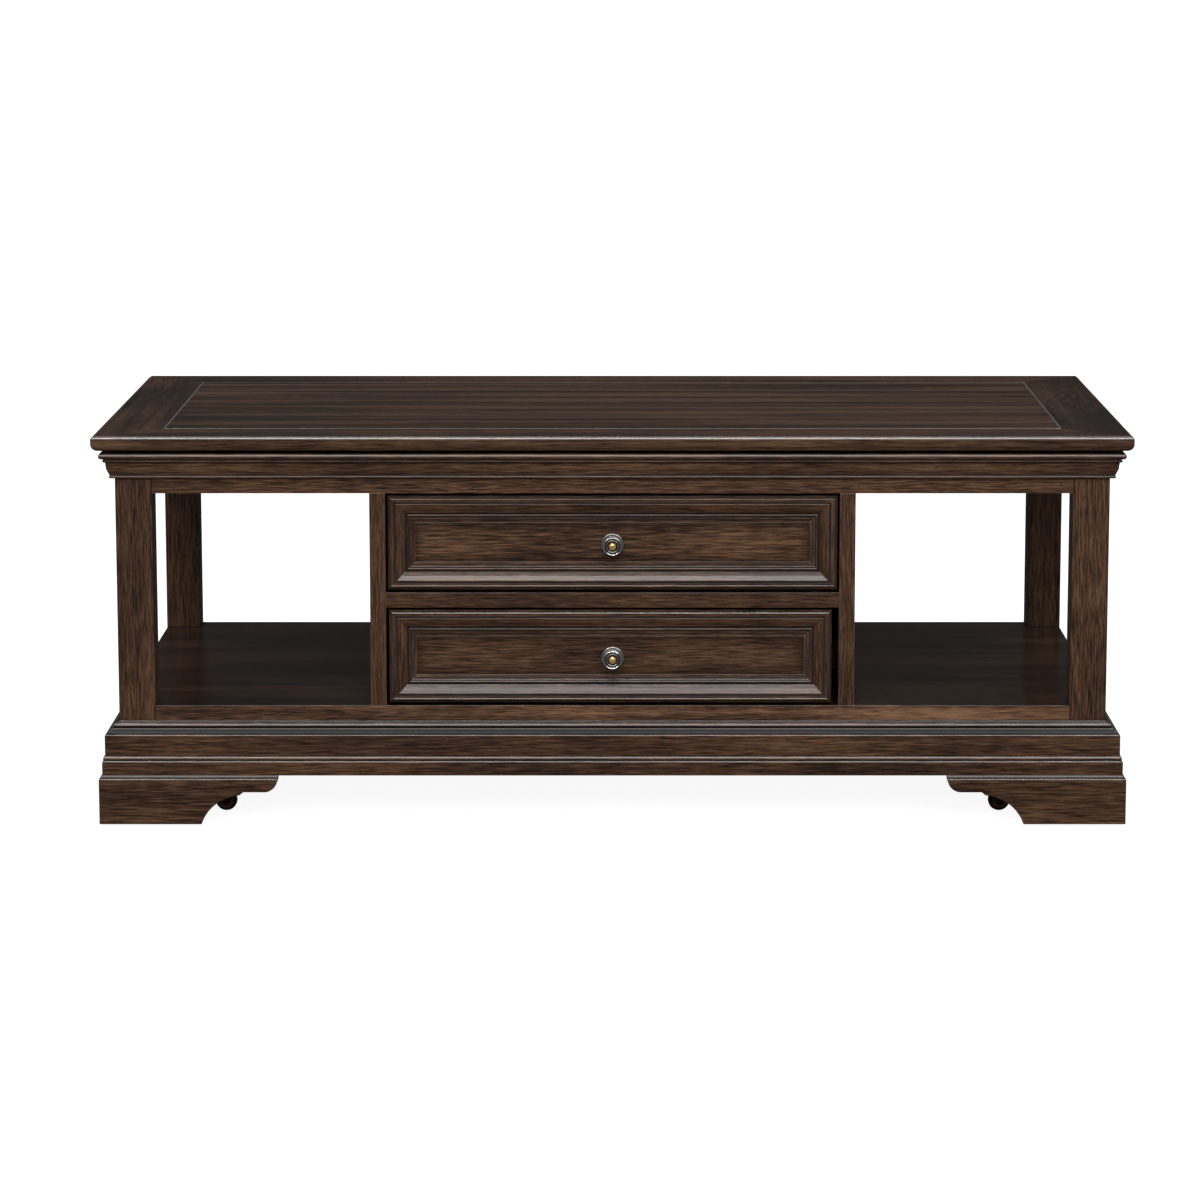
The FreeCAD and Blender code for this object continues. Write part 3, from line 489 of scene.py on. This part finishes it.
def brushed_metal(name, colour, roughness, smear=0.12, metallic=1.0, worn=0.25):
    """Metal with fine scratches, soft stains and edges rubbed bright."""
    material, tree, shader = new_material(name)
    place = put(tree, "ShaderNodeTexCoord").outputs["Object"]
    stain = even_noise(tree, place, 90.0, 4.0)
    lanes = put(tree, "ShaderNodeSeparateXYZ", {0: place}).outputs[:3]
    scratch = noise(tree, lanes, (60.0, 2400.0, 2400.0), detail=2.0)
    dull = [channel * (1.0 - smear * 2.0) for channel in colour]
    shade = ramp(tree, stain, [(0.35, dull), (0.65, list(colour))])
    rounded, _, turn = rounding(tree, 0.0004, 4)
    edge = remap(tree, turn, 0.985, 0.80, 0.0, worn)
    bright = [min(1.0, channel * 1.5 + 0.04) for channel in colour]
    tree.links.new(tint(tree, edge, shade, rgba(bright)), shader.inputs["Base Color"])
    tree.links.new(remap(tree, scratch, 0.3, 0.7, roughness - smear * 0.5, roughness + smear),
                   shader.inputs["Roughness"])
    shader.inputs["Metallic"].default_value = metallic
    bump = put(tree, "ShaderNodeBump", {"Strength": 0.08, "Distance": 0.0001, "Height": scratch,
                                        "Normal": rounded})
    tree.links.new(bump.outputs[0], shader.inputs["Normal"])
    return material


def moulded(name, colour, roughness, coat=0.0):
    """Moulded plastic or rubber with a fine skin."""
    material, tree, shader = new_material(name)
    place = put(tree, "ShaderNodeTexCoord").outputs["Object"]
    skin = even_noise(tree, place, 1400.0, 2.0)
    cloud = even_noise(tree, place, 160.0, 3.0)
    dark = [channel * 0.7 for channel in colour]
    pale = [channel * 1.5 + 0.004 for channel in colour]
    shade = ramp(tree, cloud, [(0.35, dark), (0.5, list(colour)), (0.7, pale)])
    tree.links.new(shade, shader.inputs["Base Color"])
    tree.links.new(remap(tree, skin, 0.3, 0.7, roughness - 0.04, roughness + 0.06),
                   shader.inputs["Roughness"])
    shader.inputs["Coat Weight"].default_value = coat
    shader.inputs["Coat Roughness"].default_value = 0.08
    bump = put(tree, "ShaderNodeBump", {"Strength": 0.12, "Distance": 0.0001, "Height": skin})
    tree.links.new(bump.outputs[0], shader.inputs["Normal"])
    return material


# Meshes

def dress(node, material):
    """Gives a node of the frame a better material."""
    target = nodes[node]
    if not target.data.materials:
        target.data.materials.append(material)
    for index in range(len(target.data.materials)):
        target.data.materials[index] = material


def piece(name, mesh_maker, materials, body, replaced=()):
    """A new piece: its maker fills a bmesh, then it rides on its body."""
    mesh = bpy.data.meshes.new(name)
    work = bmesh.new()
    mesh_maker(work)
    bmesh.ops.remove_doubles(work, verts=work.verts, dist=1e-6)
    bmesh.ops.recalc_face_normals(work, faces=work.faces)
    work.to_mesh(mesh)
    work.free()
    for material in materials:
        mesh.materials.append(material)
    made = bpy.data.objects.new(name, mesh)
    bpy.context.scene.collection.objects.link(made)
    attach(made, body)
    if replaced:
        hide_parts(*replaced)
    return made


def circle(steps):
    """The cosine and the sine of each step of a full turn."""
    return [(math.cos(math.tau * step / steps), math.sin(math.tau * step / steps))
            for step in range(steps)]


def lathe(work, profile, place, steps, paint=None):
    """Turns (radius, height) points round the local Z axis; place puts it where it belongs.

    paint gives the material number of each band, from the first point on."""
    rings = []
    for radius, height in profile:
        if radius == 0.0:
            rings.append([work.verts.new(place @ Vector((0.0, 0.0, height)))])
            continue
        rings.append([work.verts.new(place @ Vector((radius * cosine, radius * sine, height)))
                      for cosine, sine in circle(steps)])
    for band, (low, high) in enumerate(zip(rings, rings[1:])):
        for step in range(steps):
            after = (step + 1) % steps
            corners = [low[step % len(low)], low[after % len(low)],
                       high[after % len(high)], high[step % len(high)]]
            # A ring of one point gives the same corner twice, and so a triangle.
            face = work.faces.new(list(dict.fromkeys(corners)))
            face.smooth = True
            face.material_index = paint[band] if paint else 0


def sweep(work, path, radius, steps):
    """A round wire along a path of points, with closed ends."""
    heading = (path[1] - path[0]).normalized()
    side = heading.orthogonal().normalized()
    rings = []
    for index, point in enumerate(path):
        before = path[max(index - 1, 0)]
        after = path[min(index + 1, len(path) - 1)]
        turned = (after - before).normalized()
        side = (heading.rotation_difference(turned) @ side).normalized()
        heading = turned
        other = heading.cross(side)
        rings.append([work.verts.new(point + radius * (cosine * side + sine * other))
                      for cosine, sine in circle(steps)])
    for low, high in zip(rings, rings[1:]):
        for step in range(steps):
            after = (step + 1) % steps
            face = work.faces.new((low[step], low[after], high[after], high[step]))
            face.smooth = True
    work.faces.new(rings[0])
    work.faces.new(rings[-1])


def facing(direction, place):
    """A matrix that stands local Z along the direction, at the place."""
    turned = Vector(direction).to_track_quat("Z", "Y").to_matrix().to_4x4()
    return Matrix.Translation(place) @ turned


def seen_from_front(low, high):
    """The middle and the half sizes of a box, along and up."""
    centre = (low + high) / 2.0
    half = (high - low) / 2.0
    return (centre.x, centre.z), (half.x, half.z)


# Stage

def studio_world(scene, stage):
    """A room that is white to look at, dark in gloss and soft as a light."""
    world = bpy.data.worlds.new("studio")
    scene.world = world
    world.use_nodes = True
    tree = world.node_tree
    tree.nodes.clear()
    rays = put(tree, "ShaderNodeLightPath")
    level = pick(tree, rays.outputs["Is Glossy Ray"], stage.room_level, stage.gloss_level)
    for ray in ("Is Camera Ray", "Is Transmission Ray"):
        level = pick(tree, rays.outputs[ray], level, 1.0)
    around = put(tree, "ShaderNodeBackground", {"Color": white, "Strength": level})
    put(tree, "ShaderNodeOutputWorld", {"Surface": around.outputs[0]})


def floor_material(stage):
    """Takes shadows like a grey floor, but looks white, and all white away from the table."""
    material = bpy.data.materials.new("pale floor")
    material.use_nodes = True
    tree = material.node_tree
    tree.nodes.clear()
    rays = put(tree, "ShaderNodeLightPath")
    shade = pick(tree, rays.outputs["Is Glossy Ray"], stage.floor_shade, stage.gloss_level)
    matt = put(tree, "ShaderNodeBsdfDiffuse", {"Color": shade})
    place = put(tree, "ShaderNodeTexCoord").outputs["Object"]
    far = put(tree, "ShaderNodeVectorMath", {0: place}, operation="LENGTH").outputs["Value"]
    fill = remap(tree, far, 0.8, 3.0, stage.floor_glow, 1.0)
    seen = maths(tree, "MAXIMUM", rays.outputs["Is Camera Ray"],
                 rays.outputs["Is Transmission Ray"])
    strength = maths(tree, "MULTIPLY", seen, fill)
    glow = put(tree, "ShaderNodeEmission", {"Color": white, "Strength": strength})
    both = put(tree, "ShaderNodeAddShader", {0: matt.outputs[0], 1: glow.outputs[0]})
    put(tree, "ShaderNodeOutputMaterial", {"Surface": both.outputs[0]})
    return material


def lay_floor(scene, stage):
    """A wide floor, a little below the feet."""
    reach = 60.0
    below_feet = 0.2 * mm
    mesh = bpy.data.meshes.new("floor")
    work = bmesh.new()
    bmesh.ops.create_grid(work, x_segments=4, y_segments=4, size=reach)
    work.to_mesh(mesh)
    work.free()
    floor = bpy.data.objects.new("floor", mesh)
    scene.collection.objects.link(floor)
    floor.location.z = -below_feet
    mesh.materials.append(floor_material(stage))


def softbox(scene, name, place, target, width, height, power, mirrored):
    """A soft light that is seen only in gloss, or only outside of it."""
    light = bpy.data.lights.new(name, "AREA")
    light.shape = "RECTANGLE"
    light.size = width
    light.size_y = height
    light.energy = power
    lamp = bpy.data.objects.new(name, light)
    scene.collection.objects.link(lamp)
    lamp.location = place
    look = (Vector(target) - Vector(place)).to_track_quat("-Z", "Y")
    lamp.rotation_euler = look.to_euler()
    lamp.visible_diffuse = not mirrored
    lamp.visible_glossy = mirrored


def set_camera(scene, stage):
    """A level camera in front that looks down a little."""
    data = bpy.data.cameras.new("camera")
    data.lens = stage.lens
    data.sensor_width = 36.0
    data.sensor_fit = "HORIZONTAL"
    data.shift_x = -0.0184
    camera = bpy.data.objects.new("camera", data)
    scene.collection.objects.link(camera)
    camera.location = stage.camera_place
    camera.rotation_euler = (math.pi / 2.0 - stage.camera_pitch, 0.0, 0.0)
    scene.camera = camera


# Operators, one for each piece or group of like pieces

class TABLE_OT_case(bpy.types.Operator):
    """Stains the legs, rails, shelf, mouldings and feet"""
    bl_idname = "table.case"
    bl_label = "Case"

    def execute(self, context):
        wood = context.scene.table_wood
        # Each leg has its own tone; the back legs get darker copies of the stain, the right one
        # much darker: painted shade where the case shades them.
        for index, (corner, tone) in enumerate(zip(corner_names, (0.97, 1.15, 0.92, 0.62))):
            dress("leg_" + corner, stained_wood("leg wood %d" % index, wood, "z", tone=tone,
                                                bold=0.3, seed=index * 1.7))
        # The aprons get a lighter copy of the stain: painted light, against the shade of the
        # cornice above them.
        apron = stained_wood("apron wood", wood, "x", tone=1.27, bold=0.2, seed=4.1)
        for node in ("front_apron", "back_apron"):
            dress(node, apron)
        dress("middle_rail", stained_wood("rail wood", wood, "x", tone=1.15, seed=7.3))
        side_rail = stained_wood("side rail wood", wood, "y", seed=2.9)
        for node in ("left_apron", "right_apron"):
            dress(node, side_rail)
        for node, tone, seed in (("left_divider", 0.94, 6.3), ("right_divider", 1.2, 6.9)):
            dress(node, stained_wood(node.replace("_", " ") + " wood", wood, "z", tone=tone,
                                     seed=seed))
        dress("case_back", stained_wood("back wood", wood, "x", tone=0.9, seed=8.2))
        # The shelf gets a much lighter copy of the stain, painted light for its shaded front
        # edge, and its top is darkened again, painted shade.
        dress("shelf", stained_wood("shelf wood", wood, "x", tone=1.90, stripes=(95.0, 0.30),
                                    bold=1.0, contrast=1.7, seed=1.3, painted_shade_on_top=0.63))
        dress("compartment_floor", stained_wood("floor wood", wood, "x", tone=1.1, seed=5.5,
                                                glaze_and_shade_hollows=False))
        for node, seed, lines, steps in (("cornice_moulding", 0.6, cornice_quirks, ()),
                                         ("base_moulding", 3.7, base_quirks, base_ledges),
                                         ("skirt_moulding", 9.1, (), skirt_ledges)):
            low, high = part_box(node)
            ring = ((0.0, 0.0), ((high.x - low.x) / 2.0, (high.y - low.y) / 2.0))
            dress(node, stained_wood(node.replace("_", " ") + " wood", wood, "plan", ring=ring,
                                     tone=1.08, seed=seed, edge=2.0, quirks=(low.z, lines),
                                     ledges=steps))
        for index, corner in enumerate(corner_names):
            low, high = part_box("foot_" + corner)
            reach_x = max(abs(low.x), abs(high.x))
            reach_y = max(abs(low.y), abs(high.y))
            dress("foot_" + corner, stained_wood("foot wood %d" % index, wood, "plan",
                                                 ring=((0.0, 0.0), (reach_x, reach_y)),
                                                 bold=0.2, seed=index * 2.3 + 0.4, edge=2.0,
                                                 quirks=(low.z, ()), ledges=foot_ledges))
        dress("foot_blocks", plain_wood("block wood", (0.40, 0.26, 0.15), "x", 0.0,
                                        roughness=0.7))
        return {"FINISHED"}


class TABLE_OT_top(bpy.types.Operator):
    """Stains the border and the centre panel of the lifting top"""
    bl_idname = "table.top"
    bl_label = "Top"

    def execute(self, context):
        wood = context.scene.table_wood
        low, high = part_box("top_frame")
        ring = ((0.0, 0.0), (high.x, high.y))
        seam = (low.z, seam_quirks)
        dress("top_frame", stained_wood("border wood", wood, "plan", ring=ring,
                                        stripes=(95.0, 0.30), bold=1.0, contrast=1.3,
                                        seed=7.7, quirks=seam, boards=(0.10, 0.55)))
        dress("top_panel", stained_wood("panel wood", wood, "x", stripes=(58.0, 0.62), bold=1.0,
                                        flecks=0.3, contrast=2.0, seed=12.4, quirks=seam))
        dress("top_bumpers", moulded("bumper rubber", (0.02, 0.02, 0.02), 0.6))
        return {"FINISHED"}


class TABLE_OT_drawers(bpy.types.Operator):
    """Stains the drawer fronts and finishes the drawer boxes"""
    bl_idname = "table.drawers"
    bl_label = "Drawers"

    def execute(self, context):
        wood = context.scene.table_wood
        box_side = plain_wood("box side wood", wood.box_wood, "y", 0.3)
        box_end = plain_wood("box end wood", wood.box_wood, "x", 1.9)
        ply = plain_wood("bottom ply", [channel * 1.05 for channel in wood.box_wood], "x", 4.4)
        steel = brushed_metal("slide steel", context.scene.table_metal.slide, 0.36)
        for index, drawer in enumerate(("upper_drawer", "lower_drawer")):
            ring = seen_from_front(*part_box(drawer + "_front_frame"))
            dress(drawer + "_front_frame",
                  stained_wood(drawer + " frame wood", wood, "front", ring=ring,
                               seed=index * 3.1 + 0.9, edge=1.25,
                               quirks=(None, frame_quirks)))
            field = seen_from_front(*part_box(drawer + "_front_panel"))
            dress(drawer + "_front_panel",
                  stained_wood(drawer + " panel wood", wood, "x", tone=1.36 - index * 0.20,
                               stripes=(120.0, 0.12), bold=0.15 + index * 0.35,
                               seed=index * 5.3 + 2.2, field=field))
            dress(drawer + "_sides", box_side)
            dress(drawer + "_ends", box_end)
            dress(drawer + "_bottom", ply)
            dress(drawer + "_slide_bars", steel)
        dress("case_slides", steel)
        return {"FINISHED"}


class TABLE_OT_knobs(bpy.types.Operator):
    """Turns the two knobs: back plate, neck, ring, dark recess and gold centre"""
    bl_idname = "table.knobs"
    bl_label = "Knobs"

    def execute(self, context):
        metal = context.scene.table_metal
        nickel = brushed_metal("knob nickel", metal.nickel, 0.12, smear=0.05, metallic=0.72)
        recess = moulded("knob recess", (0.006, 0.005, 0.005), 0.30)
        gold = brushed_metal("knob gold", metal.gold, 0.20, smear=0.10, metallic=0.45)
        radius = metal.knob_radius
        length = metal.knob_length
        dome = metal.dome_radius
        # Shares of the radius and of the length: back plate, neck, outer ring, recess,
        # inner ring and the floor under the gold centre.
        well = 0.74
        plate = [(0.0, 0.0), (1.0, 0.0), (1.0, 0.05), (0.985, 0.085), (0.95, 0.10),
                 (0.92, 0.10), (0.88, 0.085), (0.70, 0.11), (0.52, 0.14), (0.43, 0.20),
                 (0.38, 0.32), (0.37, 0.45), (0.42, 0.56), (0.54, 0.66), (0.68, 0.74),
                 (0.77, 0.80), (0.82, 0.86), (0.83, 0.91), (0.815, 0.955), (0.78, 0.985),
                 (0.735, 0.985), (0.70, 0.96), (0.675, 0.91), (0.66, 0.83), (0.65, well),
                 (0.585, well), (0.58, 0.80), (0.565, 0.85), (0.53, 0.875), (0.495, 0.865),
                 (0.465, 0.82), (0.455, well), (0.0, well)]
        profile = [(share * radius, rise * length) for share, rise in plate]
        # The bands that lie in the recess, counted from the middle of the back plate.
        black = (22, 23, 24, 25, 30, 31)
        paint = [1 if index in black else 0 for index in range(len(plate) - 1)]
        base = well * length
        collar = dome * 0.08
        rise = dome * 0.80
        bend = [math.radians(angle) for angle in (0, 15, 30, 45, 60, 75)]
        centre = [(0.0, base), (dome, base)]
        centre += [(dome * math.cos(angle), base + collar + rise * math.sin(angle))
                   for angle in bend]
        centre.append((0.0, base + collar + rise))
        for drawer in ("upper_drawer", "lower_drawer"):
            low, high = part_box(drawer + "_knob")
            place = facing((0.0, -1.0, 0.0), Vector(((low.x + high.x) / 2.0, high.y,
                                                     (low.z + high.z) / 2.0)))

            def make(work, place=place):
                lathe(work, profile, place, knob_steps, paint)
                lathe(work, centre, place, dome_steps, [2] * (len(centre) - 1))

            piece(drawer + "_turned_knob", make, [nickel, recess, gold], drawer,
                  [drawer + "_knob"])
        return {"FINISHED"}


class TABLE_OT_lift(bpy.types.Operator):
    """Enamels the lift arms and brackets, and adds their screws"""
    bl_idname = "table.lift"
    bl_label = "Lift mechanism"

    def execute(self, context):
        metal = context.scene.table_metal
        enamel = brushed_metal("black enamel", metal.enamel, 0.42, metallic=0.15, worn=0.5)
        zinc = brushed_metal("screw zinc", metal.zinc, 0.30)
        for node in ("rear_arms", "front_arms", "base_brackets", "top_brackets"):
            dress(node, enamel)
        r = metal.screw_radius
        head = [(0.0, 0.0), (r, 0.0), (r, r * 0.12), (r * 0.92, r * 0.32), (r * 0.72, r * 0.46),
                (r * 0.46, r * 0.52), (r * 0.40, r * 0.50), (r * 0.34, r * 0.20),
                (0.0, r * 0.16)]
        base_thickness = 2.0 * mm
        base_inset = 12.0 * mm
        top_thickness = 2.5 * mm
        top_inset = 17.0 * mm

        def rows(box, from_outside, height, shares):
            """Places on the left and the right bracket, at shares of their depth."""
            low, high = box
            return [Vector((side * (high.x - from_outside), low.y + share * (high.y - low.y),
                            height)) for side in sides for share in shares]

        base_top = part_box("compartment_floor")[1].z + base_thickness
        base_spots = rows(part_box("base_brackets"), base_inset, base_top, (0.12, 0.5, 0.88))
        top_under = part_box("top_frame")[0].z - top_thickness
        top_spots = rows(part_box("top_brackets"), top_inset, top_under, (0.08, 0.36, 0.64, 0.92))

        def floor_screws(work):
            for spot in base_spots:
                lathe(work, head, facing((0.0, 0.0, 1.0), spot), screw_steps)

        def top_screws(work):
            for spot in top_spots:
                lathe(work, head, facing((0.0, 0.0, -1.0), spot), screw_steps)

        piece("floor_screws", floor_screws, [zinc], "case")
        piece("top_screws", top_screws, [zinc], "lift_top")
        return {"FINISHED"}


class TABLE_OT_springs(bpy.types.Operator):
    """Winds the two extension springs of the lift"""
    bl_idname = "table.springs"
    bl_label = "Lift springs"

    def execute(self, context):
        metal = context.scene.table_metal
        steel = brushed_metal("spring steel", metal.zinc, 0.28)
        low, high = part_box("lift_springs")
        wire = metal.spring_wire
        coil = (high.z - low.z) / 2.0 - wire
        # Wide enough to clear its pin when the spring is shortened.
        hook = 3.2 * mm
        height = (low.z + high.z) / 2.0
        pin_inset = 3.8 * mm
        front = low.y + pin_inset
        back = high.y - pin_inset
        pin_plane = 6.2 * mm
        lead = 26.0 * mm
        gap = 2.0 * mm
        loop_steps = 12
        lead_steps = 6
        turn_steps = 24
        first = front + lead
        last = back - lead

        def loop(across, pin, start):
            """Half a turn round a pin, from a start angle in degrees."""
            angles = [math.radians(start - 180.0 * step / loop_steps)
                      for step in range(loop_steps + 1)]
            return [Vector((across, pin + hook * math.cos(angle),
                            height + hook * math.sin(angle))) for angle in angles]

        def bend(across, start, before, after):
            """The wire between a loop and the coil, from one height to the other."""
            points = []
            for step in range(1, lead_steps):
                share = step / lead_steps
                rise = before + (after - before) * (1.0 - math.cos(math.pi * share)) / 2.0
                points.append(Vector((across, start + (lead - gap) * share, height + rise)))
            return points

        def turns(across):
            """The turns of the coil itself."""
            steps = metal.spring_turns * turn_steps
            points = []
            for step in range(steps + 1):
                angle = math.tau * step / turn_steps
                points.append(Vector((across + coil * math.sin(angle),
                                      first + (last - first) * step / steps,
                                      height + coil * math.cos(angle))))
            return points

        for side, where in zip(sides, ("left", "right")):
            across = side * (high.x - pin_plane)

            def wind(work, across=across):
                path = loop(across, front, -90.0) + bend(across, front, hook, coil)
                path += turns(across) + bend(across, last + gap, coil, hook)
                path += loop(across, back, 90.0)
                sweep(work, path, wire, wire_steps)

            replaced = ["lift_springs"] if side > 0 else []
            spring = piece("lift_spring_" + where, wind, [steel], "case",
                           replaced)
            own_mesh(spring)
        return {"FINISHED"}


class TABLE_OT_casters(bpy.types.Operator):
    """Turns the caster wheels and finishes forks and plates"""
    bl_idname = "table.casters"
    bl_label = "Casters"

    def execute(self, context):
        metal = context.scene.table_metal
        dark = brushed_metal("caster steel", (0.24, 0.22, 0.20), 0.34)
        tread = moulded("wheel tread", metal.wheel, 0.16, coat=0.6)
        hub = moulded("wheel hub", (0.09, 0.035, 0.022), 0.22, coat=0.5)
        dress("caster_plates", dark)
        for corner in corner_names:
            dress("caster_fork_" + corner, dark)
            node = "caster_wheel_" + corner
            low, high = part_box(node)
            radius = (high.z - low.z) / 2.0
            half = (high.y - low.y) / 2.0
            shape = [(0.16, -0.9), (0.30, -0.98), (0.40, -0.90), (0.62, -0.74), (0.74, -0.78),
                     (0.80, -1.0), (0.90, -1.0), (0.965, -0.80), (1.0, -0.45), (1.0, 0.45),
                     (0.965, 0.80), (0.90, 1.0), (0.80, 1.0), (0.74, 0.78), (0.62, 0.74),
                     (0.40, 0.90), (0.30, 0.98), (0.16, 0.9), (0.16, -0.9)]
            profile = [(share * radius, rise * half) for share, rise in shape]
            paint = [0 if 4 <= band <= 12 else 1 for band in range(len(shape) - 1)]
            place = facing((0.0, 1.0, 0.0), (low + high) / 2.0)

            def make(work, place=place):
                lathe(work, profile, place, wheel_steps, paint)

            piece("turned_wheel_" + corner, make, [tread, hub], node, [node])
        return {"FINISHED"}


class TABLE_OT_stage(bpy.types.Operator):
    """Lays the floor, hangs the soft lights and sets the camera"""
    bl_idname = "table.stage"
    bl_label = "Stage"

    def execute(self, context):
        stage = context.scene.table_stage
        scene = context.scene
        scene.view_settings.view_transform = "Standard"
        studio_world(scene, stage)
        lay_floor(scene, stage)
        for name, place, target, width, height, power, mirrored in (
                ("front box", (0.0, -4.4, 2.1), (0.0, 0.0, 0.3), 5.0, 2.2,
                 stage.front_power, False),
                ("top box", (0.0, 0.3, 3.4), (0.0, 0.0, 0.4), 4.0, 2.0,
                 stage.top_power, False),
                ("front sheen", (0.0, -2.7, 2.6), (0.0, -0.3, 0.3), 6.0, 2.0,
                 stage.front_sheen, True),
                ("overhead sheen", (0.0, -0.75, 3.2), (0.0, -0.3, 0.3), 6.0, 0.45,
                 stage.top_sheen, True),
                ("edge sheen", (0.0, -0.2, 3.2), (0.0, -0.3, 0.4), 6.0, 0.35,
                 stage.edge_sheen, True)):
            softbox(scene, name, place, target, width, height, power, mirrored)
        set_camera(scene, stage)
        return {"FINISHED"}


class TABLE_PT_panel(bpy.types.Panel):
    """Lists the pieces of the table"""
    bl_label = "Lift top table"
    bl_idname = "TABLE_PT_panel"
    bl_space_type = "VIEW_3D"
    bl_region_type = "UI"
    bl_category = "Table"

    def draw(self, context):
        layout = self.layout
        for operator in makers:
            layout.operator(operator.bl_idname)
        for group in (context.scene.table_wood, context.scene.table_metal,
                      context.scene.table_stage):
            box = layout.box()
            for name in group.__annotations__:
                box.prop(group, name)


makers = (TABLE_OT_case, TABLE_OT_top, TABLE_OT_drawers, TABLE_OT_knobs, TABLE_OT_lift,
          TABLE_OT_springs, TABLE_OT_casters, TABLE_OT_stage)
groups = (TableWood, TableMetal, TableStage)


def register():
    for kind in groups + makers + (TABLE_PT_panel,):
        bpy.utils.register_class(kind)
    bpy.types.Scene.table_wood = PointerProperty(type=TableWood)
    bpy.types.Scene.table_metal = PointerProperty(type=TableMetal)
    bpy.types.Scene.table_stage = PointerProperty(type=TableStage)


def unregister():
    del bpy.types.Scene.table_stage
    del bpy.types.Scene.table_metal
    del bpy.types.Scene.table_wood
    for kind in reversed(groups + makers + (TABLE_PT_panel,)):
        bpy.utils.unregister_class(kind)


def main():
    register()
    bpy.ops.table.case()
    bpy.ops.table.top()
    bpy.ops.table.drawers()
    bpy.ops.table.knobs()
    bpy.ops.table.lift()
    bpy.ops.table.springs()
    bpy.ops.table.casters()
    bpy.ops.table.stage()


if __name__ == "__main__":
    main()
